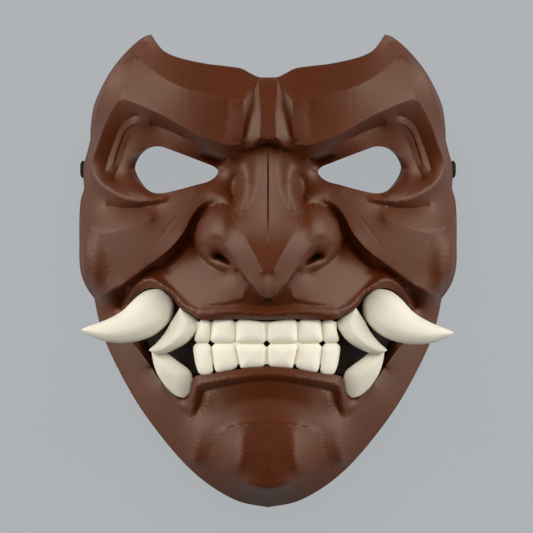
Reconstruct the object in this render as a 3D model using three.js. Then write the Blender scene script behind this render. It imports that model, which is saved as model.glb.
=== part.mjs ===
import * as THREE from "three";
import { mergeVertices } from "three/addons/utils/BufferGeometryUtils.js";

// A full-face mask with bared teeth and tusks, moulded in one brown shell with cream teeth set in it.
// Millimetres. X runs across the face, Y up the face to the forehead, Z out of the face.
// The mask lies on the back rims of its two sides, at Z = 0. One half is drawn and then mirrored.

// Driving dimensions
const viewDistance = 2500; // the face is drawn as seen from this far in front, so near points draw in
const wallThickness = 3.6; // of the shell, measured square to its surface
const sideRimTop = 64; // the side rims rest on the ground from this height on the face
const sideRimFoot = -30; // down to this one
const edgeDepth = 7; // of the turned edge along the forehead and the chin
const rimRise = { forehead: 50, chin: 56, chinCurve: 1.15 }; // how high the rims climb, and how they curve
const rimReach = wallThickness * 1.3; // the hollow side keeps this far from the front along the rim
const tipWall = 0.55; // share of the wall's thickness left at the tip of a horn
const tipWidth = 7.2; // how far along the edge from the tip the wall is thinner
const crownRound = 0.007; // the rounding of the face across, per millimetre
const crownTall = 0.0012; // and along its height
const lineStep = 3; // between points along a drawn line
const panelStep = 6.2; // between points on an open panel
const innerStep = 8; // and on the hollow side
const skinRounds = 600; // passes in which the panels settle between their lines
const gap = 0.35; // between pieces that touch

const brown = { color: 0x5f3d30, roughness: 0.5, metalness: 0 };
const cream = { color: 0xe6dcc3, roughness: 0.4, metalness: 0 };
const black = { color: 0x1a1614, roughness: 0.6, metalness: 0 };

// The edge of the mask, from the middle of the forehead round one side to the chin
const edgeRuns = [
  // forehead, up to the tip of the horn
  [[0, 96.5, 79], [5, 96.8, 78.7], [13.5, 101, 77.4], [22, 102.3, 76.2], [31.5, 103.5, 74],
    [46.5, 107, 68], [52.5, 110, 64], [58.6, 118, 56]],
  // temple
  [[58.6, 118, 56], [66.5, 113.4, 51], [73, 106.8, 48], [79, 98.8, 44], [84, 89.5, 39], [87, 81.5, 34],
    [88.3, 72, 30], [88.5, 65.5, 28.5]],
  // cheek
  [[88.5, 65.5, 28.5], [91.8, 53, 27.5], [92, 46.5, 27], [91.7, 41.5, 27.5], [93.3, 35.5, 29],
    [94, 26, 32], [94, 15, 34], [93.8, 3, 33.5], [92.3, -4, 31.5], [86.5, -13.5, 25]],
  // jaw
  [[86.5, -13.5, 25], [85.5, -19, 25], [81, -35, 29], [74, -50, 35.4], [64, -67.5, 42.8],
    [51.5, -84.5, 50.2], [39, -98.5, 56.6], [26.5, -108.5, 61.5], [14, -115, 64], [0, -117.8, 65]],
];
const hornTip = edgeRuns[0].at(-1);

// The edge of one eye hole, from its inner corner along the upper lid and back along the lower one
const eyeRun = [
  [25, 50, 66], [26.6, 52, 65.6], [41.5, 58, 66.7], [49, 60.8, 64.7], [54, 62.4, 62], [58.5, 62, 59.2],
  [62.5, 60.3, 55.5], [66.5, 57.3, 52], [69.2, 52, 48.5], [68, 48, 50], [65, 44.3, 54], [61, 41, 58.2],
  [57.5, 39.3, 61], [54, 38.9, 63], [46.5, 40.3, 66], [36.5, 43, 67.8], [29.5, 45, 67.8],
  [26, 47.6, 66.8],
];
const eyeLean = { from: 56, to: 69, shift: -2.7 }; // the outer end of the hole leans in behind

// The edge of the open mouth, from the middle of the upper lip round one corner to the lower lip
const mouthRun = [
  [0, -24.5, 84.5], [14, -24, 83.5], [34, -24, 79], [44.2, -18.2, 71], [49.2, -11.5, 64.5], [54, -9, 60],
  [59, -8.5, 56], [63.7, -10.5, 51], [67.6, -14.8, 45], [71.3, -18.3, 41], [73.2, -21.5, 39],
  [71.5, -27, 40], [65, -35.5, 44.5], [57.2, -50, 51.5], [49.7, -58.9, 57.5], [45.8, -61.9, 60.2],
  [42.4, -63.2, 62.4], [39.6, -61.9, 65.2], [38.2, -58.3, 67.7], [38, -55, 70], [36.5, -52.8, 73],
  [26.5, -51, 78], [14, -49, 82], [0, -47.5, 83.5],
];
const mouthLean = { from: 50, to: 62, shift: -2.2, below: -33 }; // and so does the lower corner of the mouth

// Creases of the carving: each turn of the surface is one line, with its height at every point
const creases = {
  foreheadBevel: [[66, 107.5, 57], [55.5, 98.8, 70], [44, 92.5, 79], [30, 88.5, 83.9],
    [12.5, 84.8, 86.6]],
  temple: [[66, 107.5, 58], [73.5, 86.5, 63]],
  templeRim: [[66, 107.5, 57], [72.5, 104.5, 55.8], [76, 101.3, 55], [81.3, 92.3, 52.6],
    [85.2, 82.3, 46.2], [87, 73.5, 37.8]],
  frownPanel: [[12.5, 84.8, 86.2], [12.4, 70, 87.4], [13.2, 66.3, 87.4]],
  frownCrack: [[5.6, 96, 78.8], [6.6, 90.5, 81.6], [8.5, 81.5, 84.2], [12, 66.5, 85.8]],
  frownBar: [[3.3, 96, 80.4], [3.5, 80.5, 88.8], [4, 67.2, 92]],
  frownFoot: [[12.2, 63.4, 85], [10.8, 61.4, 84.8], [8.6, 61.3, 85.6], [4.1, 66.1, 91.4],
    [0, 65.1, 91.8]],
  noseRoot: [[0, 63.5, 80.2], [11.5, 58.8, 79.6]],
  browRidge: [[73.5, 86.5, 63], [58, 80.4, 74.9], [44, 73, 82], [34, 67.6, 85], [24, 63.7, 87],
    [15.5, 63.4, 87.8]],
  browLid: [[58, 73.8, 64.4], [51.5, 71, 66.2], [31.5, 62, 77.6], [25, 59, 80.2], [18, 57, 80.8],
    [11.5, 58.8, 79.6]],
  frameOuter: [[73.5, 86.5, 63], [81, 74.5, 52.3], [87.8, 55.3, 42.5], [88.5, 52, 41.5],
    [88, 48.5, 42.5]],
  lidEdge: [[88, 48.5, 42.5], [82.5, 42.5, 48.8], [69, 35.5, 58.8], [59, 34.4, 64], [51.5, 35.6, 66.2]],
  stepUpper: [[59.5, 74.3, 65.8], [62.5, 74.7, 64.2], [66.5, 74, 60.6], [70, 72.2, 56.6],
    [72.5, 68.9, 52.9], [76.3, 58.5, 47], [78.8, 50.5, 44.6]],
  stepLower: [[60, 73.2, 63.8], [65.8, 70, 58], [70.6, 62.8, 50.3], [73.8, 54, 46.4], [77.3, 47, 44.9]],
  eyeUnder: [[78, 43.5, 50.2], [69, 39.3, 56.8], [59, 38.3, 62.6]],
  bagFoot: [[80, 33, 46.6], [71, 31.4, 52.4], [63, 32, 57.4], [51, 35, 64.8], [36, 39.6, 69.4]],
  cheekbone: [[93, 26, 37], [92, 24, 40], [88, 21, 46.2], [82, 20, 51.6], [75.5, 20.3, 56.3],
    [68.5, 22.3, 61], [55, 27.8, 68.3], [40, 33.8, 72.4]],
  cheekTurnOut: [[86.7, 18.7, 47.8], [87, 8, 48.4], [86.9, -2, 45.8], [85.8, -9, 40.6]],
  cheekRim: [[91.6, 17.5, 43], [91.9, 8, 44.4], [91.2, 0, 42], [89.4, -6.5, 37]],
  cheekEdge: [[84.6, -12.8, 36], [81.5, -11.3, 44], [74, -7.3, 52.6], [56.5, 5.5, 65.4], [50, 10.5, 69.4],
    [45, 16, 71.8], [37.4, 28.8, 71], [32.7, 33.8, 71.2], [26.5, 35.6, 73.2], [19.8, 34.7, 77.8]],
  ledgeTop: [[30.5, 36.6, 71.3], [18.4, 37.3, 77]],
  wingFoot: [[18.2, 31.9, 81.5], [22, 33.7, 74.3], [28, 32.9, 68.5], [35.5, 26, 62.2], [37.9, 20, 60.5],
    [38.3, 16.5, 60.5], [36, 10, 65.5], [31.4, 4.8, 72], [23, -0.4, 79], [21.2, -1, 80.6],
    [20, 0.4, 83.2]],
  wingShoulder: [[20, 31.3, 82.6], [25.4, 32.4, 77.2], [30.8, 29.7, 73.8], [35, 24.4, 71.2],
    [37.1, 17.6, 70.4], [36.8, 14.4, 71], [33, 8.7, 75], [28, 4.2, 79.8], [22.6, 1.6, 82.8],
    [20.6, 1.7, 84.6]],
  noseValley: [[15.6, 49.5, 74.5], [16.8, 46, 70], [18, 41.5, 68.8], [18, 37.6, 71.5], [17.2, 34.4, 77]],
  noseShoulder: [[11, 56.5, 79.4], [11, 40.5, 83.6], [14.6, 30.8, 85]],
  noseRidge: [[17, 26, 86.6], [16.2, 22.6, 89], [9.2, 13, 99.4], [7, 8.9, 102], [3.5, 2, 104.4],
    [2.1, -4.5, 104.9]],
  noseMiddle: [[0, 62.5, 81.8], [0, 8, 102.8], [0, -6, 104.8], [0, -11, 103.4]],
  tipEdge: [[16.5, 5.2, 90.4], [6, -9.2, 98.4], [3, -12, 99.8], [0, -13, 100.2]],
  tipFoot: [[15.4, 0.4, 86.4], [9.8, -6.6, 89.2], [6, -10.4, 89.8], [3, -13.1, 89.6], [0, -14, 89.4]],
  nostrilArc: [[33, 12.6, 73.8], [31.5, 15.3, 77.3], [28, 16.3, 81.5], [24.5, 15.4, 85.2], [20, 11, 88.6],
    [16.5, 5.2, 90.4]],
  nostrilFoot: [[26.7, 6, 76], [17.2, 2.2, 87]],
  foldValley: [[38.7, 16.4, 60], [43, 10.2, 57], [51.5, 2, 55.8], [60.5, -0.5, 51.8], [66.5, -4.8, 45.6],
    [69, -7.7, 41], [71, -11.3, 36.4], [73.2, -17.4, 32.2]],
  foldRidge: [[38.5, 11.5, 63.4], [45, 5.6, 62.8], [50, 1.5, 59.8]],
  cheekFoot: [[85.5, -13.6, 29], [84, -14.2, 34], [82, -15, 36.5], [79, -15.8, 38], [76, -16.8, 37.5],
    [73.6, -17.2, 33]],
  lipPlane: [[55, -1.2, 57], [47, -6, 65.2], [36.5, -16, 76.5], [26.5, -16.3, 83], [17.5, -15.1, 86.5],
    [14, -14.6, 87.2], [0, -17, 86.8]],
  rollGroove: [[57, -1.5, 54.6], [52.5, -4.1, 58.6], [37.5, -17, 75.9], [26.5, -17.2, 81.8],
    [14, -15.6, 86], [0, -18, 85.6]],
  upperLip: [[72.4, -18.2, 40.5], [69.7, -10.5, 48.2], [67.5, -7.4, 52], [64.5, -5, 55.8], [58, -3.7, 61],
    [55, -5, 63.4], [43.5, -16.6, 74], [38.5, -20, 78.2], [21.5, -20.8, 86.4], [9, -21.3, 88.8],
    [0, -21.8, 89.2]],
  lowerLip: [[39.6, -65, 67.6], [37, -58, 73.4], [30, -55.8, 78.8], [20, -53.8, 83.3], [10, -52.2, 85.9],
    [0, -51.4, 86.6]],
  underLip: [[32.6, -60.7, 71], [25.5, -58.6, 76.6], [17, -56.9, 80.3], [6.5, -55.3, 82.7],
    [0, -54.9, 83]],
  chinHollow: [[0, -64, 80.4], [10, -65, 80], [20, -67, 77.8]],
  chinCrease: [[23.5, -78.3, 76.6], [14, -76, 82], [0, -75, 83.8]],
  chinFront: [[0, -88, 86.6], [0, -100, 85.8]],
  chinTurn: [[12.5, -82, 85], [13, -90, 85], [14.5, -98, 83]],
  chinValley: [[28, -77, 74], [28.8, -84, 72.6], [30.5, -96, 67.6]],
  chinRoll: [[34.5, -79, 69.6], [37, -95, 65.2]],
  chinBevel: [[38, -99.2, 56.6], [29, -98.5, 67.2], [22, -99.8, 74.2], [11, -105.3, 81.6],
    [0, -108.8, 83.6]],
  lipBorder: [[67.5, -36, 44.6], [52.8, -56, 57.4], [44.8, -64.5, 62.6], [39.5, -72, 65]],
};

// The teeth
const rowDepth = 7.5; // front to back
const rowCrown = 83.9; // height of the middle of both rows
const rowBend = 0.0075; // how the rows curve back to the sides, per millimetre
const toothEdges = [0, 15.8, 27.9]; // the lines between the teeth of one side, from the middle out
const biteLine = -36.2;
const upperRow = { top: -25.3, end: 34.2 };
const lowerRow = { foot: -46.9, slope: -0.12, end: 36.4 };
const toothRounding = { across: 1.6, along: 1.3 }; // how far the front drops at the edges of a tooth

// The tusks, as drawn: a horn with its centre line and its radius along it
const tusk = {
  centres: [[56.4, -18.5, 60], [57.4, -19.3, 63.4], [59.4, -21.1, 67.6], [62.4, -23.6, 70.8],
    [65.8, -25.8, 73], [72.8, -28.6, 76.2], [80.3, -29.9, 79.2], [87.1, -29.8, 81.4],
    [93.1, -29.4, 83.3]],
  radii: [9.6, 9.9, 10.1, 9.9, 9.2, 7.5, 5.5, 3.2, 0.3],
  sides: 12,
};
const rightTuskTurn = THREE.MathUtils.degToRad(2.5); // the right tusk droops by this about its root

// The fangs, as drawn: from the top down, the two sides of the outline, the height of the front between
// them and the thickness
const upperFang = [
  { outer: [45.2, -20.4], inner: [43.6, -20.2], front: 71.4, thick: 1.6 },
  { outer: [47, -23], inner: [39, -23.4], front: 73.2, thick: 4.2 },
  { outer: [48.6, -25.4], inner: [36, -26.2], front: 74.8, thick: 5.4 },
  { outer: [51.1, -30.1], inner: [37, -30.8], front: 76.8, thick: 5.8 },
  { outer: [55, -35], inner: [42.1, -36.8], front: 76.6, thick: 4.8 },
  { outer: [58, -37.9], inner: [51, -41], front: 74.6, thick: 2.6 },
  { outer: [59.6, -39.6], inner: [59.1, -40.1], front: 71.8, thick: 0.4 },
];
const lowerFang = [
  { outer: [58.3, -40.6], inner: [57.6, -40.2], front: 67.4, thick: 0.4 },
  { outer: [57.1, -46.8], inner: [49, -42], front: 69.4, thick: 4 },
  { outer: [54.4, -52.2], inner: [42, -47.2], front: 70, thick: 5.4 },
  { outer: [50.4, -57.8], inner: [38.6, -53.6], front: 68.6, thick: 5.2 },
  { outer: [47.4, -60.6], inner: [39.2, -58.6], front: 66.8, thick: 3.8 },
  { outer: [43.2, -62.6], inner: [41.8, -62.4], front: 64.6, thick: 1.2 },
];
const fangCrest = 0.46; // where the ridge of a fang runs, as a share of the way from its outer side
const fangSlope = { near: 0.4, rise: 0.62 }; // a point of its section between the ridge and either side
const fangBack = { middle: -0.6, sides: -0.48 }; // how full its back is beside its front

// The tray behind the teeth
const trayRun = [
  [0, -13.5], [30, -13], [45, -6], [56, -2.5], [68, -5.5], [75.6, -17.5], [75, -31], [66, -50],
  [52, -64.5], [40, -68.5], [27, -62], [0, -57.5],
];
const trayFloor = rowCrown - rowDepth - 4 * gap; // height of its middle
const trayRise = 12; // the most that the tray climbs from its floor behind the lips
const trayWall = 2.2;
const trayReach = wallThickness + 1.1; // the tray keeps this far behind the front of the lips
const trayShoulder = 4; // the width over which the tray drops from the back of the lips to its floor

// The caps over the ends of the strap, one on each side wall at the level of the eyes
const strapCap = { radius: 4.3, crown: 2.6, thickness: 1.9, height: 15, along: 50.5 };

const seen = ([x, y, z = 0]) => new THREE.Vector3(x * (1 - z / viewDistance), y * (1 - z / viewDistance), z);
const smoothstep = (value, from, to) => THREE.MathUtils.smoothstep(value, from, to);
const crown = (x, y) => -crownRound * x * x - crownTall * y * y;

// Points along a smooth line, at most a step apart
function along(run, step) {
  const points = run.map(seen);
  const curve = points.length > 2 ? new THREE.CatmullRomCurve3(points, false, "centripetal")
    : new THREE.LineCurve3(points[0], points[1]);
  return curve.getSpacedPoints(Math.max(1, Math.round(curve.getLength() / step)));
}

// One closed mesh from a list of points and a list of corner triples
function solid(name, points, faces, finish) {
  const geometry = new THREE.BufferGeometry();
  const places = points.flatMap((p) => [p.x, p.y, p.z]);
  geometry.setAttribute("position", new THREE.Float32BufferAttribute(places, 3));
  geometry.setIndex(faces.flat());
  const mesh = new THREE.Mesh(geometry, new THREE.MeshStandardMaterial(finish));
  mesh.name = name;
  return mesh;
}

// Triangles between points of the plane, none with another point inside its circle
function triangulate(points) {
  const far = 1e4;
  const all = [...points, { x: -far, y: -far }, { x: far, y: -far }, { x: 0, y: far }];
  const withCircle = (a, b, c) => {
    const [p, q, r] = [all[a], all[b], all[c]];
    const area = 2 * (p.x * (q.y - r.y) + q.x * (r.y - p.y) + r.x * (p.y - q.y));
    const [pp, qq, rr] = [p, q, r].map((v) => v.x * v.x + v.y * v.y);
    const x = (pp * (q.y - r.y) + qq * (r.y - p.y) + rr * (p.y - q.y)) / area;
    const y = (pp * (r.x - q.x) + qq * (p.x - r.x) + rr * (q.x - p.x)) / area;
    return { corners: [a, b, c], x, y, reach: (p.x - x) ** 2 + (p.y - y) ** 2 };
  };
  const count = points.length;
  let triangles = [withCircle(count, count + 1, count + 2)];
  points.forEach((point, index) => {
    const open = new Map();
    const kept = [];
    for (const triangle of triangles) {
      if ((point.x - triangle.x) ** 2 + (point.y - triangle.y) ** 2 >= triangle.reach) {
        kept.push(triangle);
        continue;
      }
      const [a, b, c] = triangle.corners;
      for (const [from, to] of [[a, b], [b, c], [c, a]]) {
        if (open.has(`${to} ${from}`)) open.delete(`${to} ${from}`);
        else open.set(`${from} ${to}`, [from, to]);
      }
    }
    triangles = kept;
    for (const [from, to] of open.values()) triangles.push(withCircle(from, to, index));
  });
  return triangles.map((triangle) => triangle.corners).filter((corners) => Math.max(...corners) < count);
}

function inside(loop, x, y) {
  let odd = false;
  loop.forEach((a, index) => {
    const b = loop[(index + 1) % loop.length];
    if (a.y > y !== b.y > y && x < ((b.x - a.x) * (y - a.y)) / (b.y - a.y) + a.x) odd = !odd;
  });
  return odd;
}

// How far a place lies from a line of points
function distanceTo(line, x, y) {
  let nearest = Infinity;
  for (let index = 1; index < line.length; index++) {
    const [a, b] = [line[index - 1], line[index]];
    const [dx, dy] = [b.x - a.x, b.y - a.y];
    const share = THREE.MathUtils.clamp(((x - a.x) * dx + (y - a.y) * dy) / (dx * dx + dy * dy || 1), 0, 1);
    nearest = Math.min(nearest, Math.hypot(x - a.x - share * dx, y - a.y - share * dy));
  }
  return nearest;
}

// Rows of points that fill a space, each one clear of the lines that are there already
function fill(taken, allowed, step) {
  const extra = [];
  let row = 0;
  for (let y = 120; y > -120; y -= step * 0.87, row++) {
    for (let x = (row % 2) * step * 0.5; x < 96; x += step) {
      const nudge = x === 0 ? 0 : 0.05 * Math.sin(7 * y + x);
      const place = new THREE.Vector3(x + nudge, y + 0.05 * Math.sin(5 * x), NaN);
      const clear = (other) => Math.hypot(other.x - place.x, other.y - place.y) > step * 0.62;
      if (allowed(place.x, place.y) && taken.every(clear)) extra.push(place);
    }
  }
  return extra;
}

// The front of one half: the drawn lines keep their heights, and the panels between them are stretched
// like a skin over the rounding of the face
function stretchHalf(loops, step) {
  const fixed = loops.flat();
  const crowded = (point, least) => fixed.some((o) => Math.hypot(o.x - point.x, o.y - point.y) < least);
  for (const run of Object.values(creases)) {
    const line = along(run, lineStep);
    fixed.push(...line.filter((point) => !crowded(point, lineStep * 0.55)));
  }
  for (const point of fixed) if (point.x < 0.9) point.x = 0;
  const { edge, eye, mouth } = halfLoops;
  const open = (x, y) => inside(edge, x, y) && !inside(eye, x, y) && !inside(mouth, x, y);
  const points = [...fixed, ...fill(fixed, (x, y) => open(Math.max(x, 0.01), y), step)];
  const faces = triangulate(points).filter(([a, b, c]) => {
    const [p, q, r] = [points[a], points[b], points[c]];
    return open((p.x + q.x + r.x) / 3, (p.y + q.y + r.y) / 3);
  });
  const pulls = points.map(() => new Map());
  for (const corners of faces) {
    corners.forEach((a, index) => {
      const [b, c] = [corners[(index + 1) % 3], corners[(index + 2) % 3]];
      const [u, v] = [points[b], points[c]].map((p) => [p.x - points[a].x, p.y - points[a].y]);
      const weight = (u[0] * v[0] + u[1] * v[1]) / Math.max(Math.abs(u[0] * v[1] - u[1] * v[0]), 0.05);
      pulls[b].set(c, (pulls[b].get(c) ?? 0) + weight);
      pulls[c].set(b, (pulls[c].get(b) ?? 0) + weight);
    });
  }
  const lift = points.map((p) => (Number.isNaN(p.z) ? 0 : p.z - crown(p.x, p.y)));
  for (let round = 0; round < skinRounds; round++) {
    for (let index = fixed.length; index < points.length; index++) {
      let [sum, total] = [0, 0];
      for (const [other, weight] of pulls[index]) {
        sum += Math.max(weight, 0.01) * lift[other];
        total += Math.max(weight, 0.01);
      }
      lift[index] = sum / total;
    }
  }
  points.forEach((p, index) => {
    p.z = lift[index] + crown(p.x, p.y);
  });
  return { points, faces };
}

// Both halves of a sheet, joined along the middle
function mirrorSheet({ points, faces }) {
  const all = [...points];
  const twin = points.map((p, index) => {
    if (p.x === 0) return index;
    all.push(new THREE.Vector3(-p.x, p.y, p.z));
    return all.length - 1;
  });
  return { points: all, faces: [...faces, ...faces.map(([a, b, c]) => [twin[a], twin[c], twin[b]])], twin };
}

// Every triangle turned so that it faces up, or down
function faceUp(points, faces, up) {
  return faces.map(([a, b, c]) => {
    const [p, q, r] = [points[a], points[b], points[c]];
    const turn = (q.x - p.x) * (r.y - p.y) - (q.y - p.y) * (r.x - p.x);
    return turn > 0 === up ? [a, b, c] : [a, c, b];
  });
}

const halfLoops = {
  edge: edgeRuns.flatMap((run, index) => along(run, lineStep).slice(index ? 1 : 0)),
  eye: along([...eyeRun, eyeRun[0]], lineStep).slice(0, -1),
  mouth: along(mouthRun, lineStep),
};
for (const loop of [halfLoops.edge, halfLoops.mouth]) {
  loop[0].x = 0;
  loop.at(-1).x = 0;
}

const front = mirrorSheet(stretchHalf(Object.values(halfLoops), panelStep));

// The height of the hollow side: a ball of the wall's thickness rolled along behind the front
const ballSamples = front.faces.flatMap(([a, b, c]) => {
  const [p, q, r] = [front.points[a], front.points[b], front.points[c]];
  const between = (u, v) => u.clone().add(v).multiplyScalar(0.5);
  return [p, between(p, q), between(q, r), between(r, p), p.clone().add(q).add(r).divideScalar(3)];
});
function hollowAt(x, y, reach = wallThickness) {
  let lowest = Infinity;
  for (const sample of ballSamples) {
    const off = (sample.x - x) ** 2 + (sample.y - y) ** 2;
    if (off < reach * reach) lowest = Math.min(lowest, sample.z - Math.sqrt(reach * reach - off));
  }
  return lowest;
}

// How far back the edge of the mask runs: to the ground along the sides, a turned edge elsewhere
function rimHeight(point) {
  const short = point.z - edgeDepth;
  if (point.y > sideRimTop) {
    const share = (point.y - sideRimTop) / (hornTip[1] - sideRimTop);
    return Math.abs(point.x) < seen(hornTip).x ? short : Math.min(short, rimRise.forehead * share);
  }
  if (point.y > sideRimFoot) return 0;
  const share = (sideRimFoot - point.y) / (sideRimFoot - edgeRuns.at(-1).at(-1)[1]);
  return Math.min(short, rimRise.chin * share ** rimRise.chinCurve);
}

function buildShell() {
  const outer = front;
  const points = outer.points.map((p) => p.clone());
  const faces = faceUp(points, outer.faces, true);
  const add = (point) => points.push(point) - 1;
  const mirrored = (indices) => indices.map((index) => outer.twin[index]);
  const start = { edge: 0, eye: halfLoops.edge.length, mouth: halfLoops.edge.length + halfLoops.eye.length };
  const range = (name) => halfLoops[name].map((_, index) => start[name] + index);
  const loops = {
    edge: [...range("edge"), ...mirrored(range("edge")).slice(1, -1).reverse()],
    eyeRight: range("eye"),
    eyeLeft: mirrored(range("eye")),
    mouth: [...range("mouth"), ...mirrored(range("mouth")).slice(1, -1).reverse()],
  };
  const wall = (upper, lower, flip) => upper.forEach((a, index) => {
    const next = (index + 1) % upper.length;
    const [b, c, d] = [upper[next], lower[next], lower[index]];
    faces.push(flip ? [a, c, b] : [a, b, c], flip ? [a, d, c] : [a, c, d]);
  });

  // the hollow side meets each hole at a loop of its own, a little shifted where the hole leans
  const lean = (x, { from, to, shift }) => Math.sign(x) * shift * smoothstep(Math.abs(x), from, to);
  const back = {};
  for (const name of ["eyeRight", "eyeLeft", "mouth"]) {
    back[name] = loops[name].map((index) => {
      const p = points[index];
      const leaning = name === "mouth" ? mouthLean : eyeLean;
      const x = p.x + (p.y < (leaning.below ?? Infinity) ? lean(p.x, leaning) : 0);
      return add(new THREE.Vector3(x, p.y, hollowAt(x, p.y)));
    });
  }
  const rim = loops.edge.map((index) => add(points[index].clone().setZ(rimHeight(points[index]))));
  const innerRim = loops.edge.map((index, place) => {
    const count = loops.edge.length;
    const near = [place + count - 1, place, place + 1];
    const [before, here, after] = near.map((k) => points[loops.edge[k % count]]);
    const one = new THREE.Vector2(here.x - before.x, here.y - before.y).normalize();
    const two = new THREE.Vector2(after.x - here.x, after.y - here.y).normalize();
    const away = one.add(two).normalize();
    const fromTip = Math.hypot(Math.abs(here.x) - hornTip[0], here.y - hornTip[1]);
    const width = wallThickness * (fromTip < tipWidth ? tipWall : 1);
    const x = here.x === 0 ? 0 : here.x + away.y * width;
    return add(new THREE.Vector3(x, here.y - away.x * width, points[rim[place]].z));
  });
  back.edge = innerRim.map((index) => {
    const p = points[index];
    return add(p.clone().setZ(Math.max(hollowAt(p.x, p.y, rimReach), p.z + 0.6)));
  });

  // half of the hollow side is filled and mirrored
  const half = (list) => list.filter((index) => points[index].x > -1e-6);
  const lines = [...half(back.edge), ...half(back.eyeRight), ...half(back.mouth)];
  const corners = lines.map((index) => points[index]);
  const outline = half(back.edge).map((index) => points[index]);
  const eye = half(back.eyeRight).map((index) => points[index]);
  const mouth = half(back.mouth).map((index) => points[index]);
  const open = (x, y) => inside(outline, x, y) && !inside(eye, x, y) && !inside(mouth, x, y);
  const extra = fill(corners, (x, y) => open(Math.max(x, 0.01), y), innerStep);
  for (const p of extra) p.z = hollowAt(p.x, p.y);
  const sheet = [...corners, ...extra];
  const inner = triangulate(sheet).filter(([a, b, c]) => {
    const [p, q, r] = [sheet[a], sheet[b], sheet[c]];
    return open((p.x + q.x + r.x) / 3, (p.y + q.y + r.y) / 3);
  });
  const own = [...lines, ...extra.map(add)];
  const mirrorOf = new Map();
  for (const [name, other] of [["edge", "edge"], ["eyeRight", "eyeLeft"], ["mouth", "mouth"]]) {
    back[name].forEach((index, place) => {
      const count = back[name].length;
      mirrorOf.set(index, name === other ? back[name][(count - place) % count] : back[other][place]);
    });
  }
  for (const p of own.slice(lines.length)) {
    mirrorOf.set(p, points[p].x === 0 ? p : add(new THREE.Vector3(-points[p].x, points[p].y, points[p].z)));
  }
  const right = inner.map((triple) => triple.map((k) => own[k]));
  const left = right.map((triple) => triple.map((k) => mirrorOf.get(k)));
  faces.push(...faceUp(points, [...right, ...left], false));

  wall(loops.edge, rim, false);
  wall(rim, innerRim, false);
  wall(innerRim, back.edge, false);
  wall(loops.eyeRight, back.eyeRight, true);
  wall(loops.eyeLeft, back.eyeLeft, false);
  wall(loops.mouth, back.mouth, true);
  return solid("mask_shell", points, faces, brown);
}

// A block of teeth: a curved bar whose front bulges once for each tooth
function buildTeeth(name, top, foot, end) {
  const edges = [...toothEdges, end];
  const columns = [];
  for (let tooth = 0; tooth + 1 < edges.length; tooth++) {
    const [from, to] = [edges[tooth], edges[tooth + 1]];
    for (const share of [0, 0.12, 0.5, 0.88]) columns.push({ x: from + share * (to - from), share });
  }
  columns.push({ x: end, share: 0 });
  const mirror = columns.slice(1).reverse().map(({ x, share }) => ({ x: -x, share }));
  const across = [...mirror, ...columns];
  const rows = [0, 0.12, 0.5, 0.88, 1];
  const points = [];
  for (const { x, share } of across) {
    const front = rowCrown - rowBend * x * x;
    for (const row of rows) {
      const y = THREE.MathUtils.lerp(top(x), foot(x), row);
      const drop = Math.max(share === 0 ? toothRounding.across : 0, row % 1 === 0 ? toothRounding.along : 0);
      points.push(seen([x, y, front - drop]));
    }
    for (const side of [foot(x), top(x)]) points.push(seen([x, side, front - rowDepth]));
  }
  return solid(name, points, tubeFaces(across.length, rows.length + 2), cream);
}

// The faces of a tube of rings, with both ends closed by a fan
function tubeFaces(rings, sides) {
  const faces = [];
  for (let ring = 0; ring + 1 < rings; ring++) {
    for (let side = 0; side < sides; side++) {
      const [a, b] = [ring * sides + side, ring * sides + ((side + 1) % sides)];
      faces.push([a, b, b + sides], [a, b + sides, a + sides]);
    }
  }
  for (let side = 1; side + 1 < sides; side++) {
    const last = (rings - 1) * sides;
    faces.push([0, side + 1, side], [last, last + side, last + side + 1]);
  }
  return faces;
}

// A horn: rings about a smooth centre line, thin at its far end
function buildHorn(name, { centres, radii, sides }, side, turn) {
  const line = new THREE.CatmullRomCurve3(centres.map(seen), false, "centripetal");
  const rings = centres.length * 2 - 1;
  const points = [];
  const root = line.getPoint(0);
  const aside = new THREE.Vector3(0.55, 0.8, 0.2); // points away from the bend of the horn
  for (let ring = 0; ring < rings; ring++) {
    const share = ring / (rings - 1);
    const place = share * (centres.length - 1);
    const low = Math.min(Math.floor(place), centres.length - 2);
    const radius = THREE.MathUtils.lerp(radii[low], radii[low + 1], place - low);
    const centre = line.getPoint(share);
    const forward = line.getTangent(share);
    const level = new THREE.Vector3().crossVectors(forward, aside).normalize();
    const out = new THREE.Vector3().crossVectors(level, forward);
    for (let step = 0; step < sides; step++) {
      const angle = (step / sides) * 2 * Math.PI;
      const point = centre.clone().addScaledVector(out, radius * Math.cos(angle));
      point.addScaledVector(level, radius * Math.sin(angle)).sub(root);
      point.applyAxisAngle(new THREE.Vector3(0, 0, 1), -turn).add(root);
      points.push(point.setX(point.x * side));
    }
  }
  return solid(name, points, turned(tubeFaces(rings, sides), side < 0), cream);
}

const turned = (faces, flip) => faces.map(([a, b, c]) => (flip ? [a, c, b] : [a, b, c]));

// A fang: flat rings from its top down, with a ridge along the front
function buildFang(name, stations, side) {
  const across = [
    { share: 0, rise: 0 },
    { share: fangCrest * fangSlope.near, rise: fangSlope.rise },
    { share: fangCrest, rise: 1 },
    { share: 1 - (1 - fangCrest) * fangSlope.near, rise: fangSlope.rise },
    { share: 1, rise: 0 },
    { share: 0.75, rise: fangBack.sides },
    { share: 0.5, rise: fangBack.middle },
    { share: 0.25, rise: fangBack.sides },
  ];
  const points = stations.flatMap(({ outer, inner, front, thick }) => across.map(({ share, rise }) => {
    const x = THREE.MathUtils.lerp(outer[0], inner[0], share);
    const y = THREE.MathUtils.lerp(outer[1], inner[1], share);
    return seen([x * side, y, front - thick * (1 - rise)]);
  }));
  return solid(name, points, turned(tubeFaces(stations.length, across.length), side < 0), cream);
}

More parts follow.
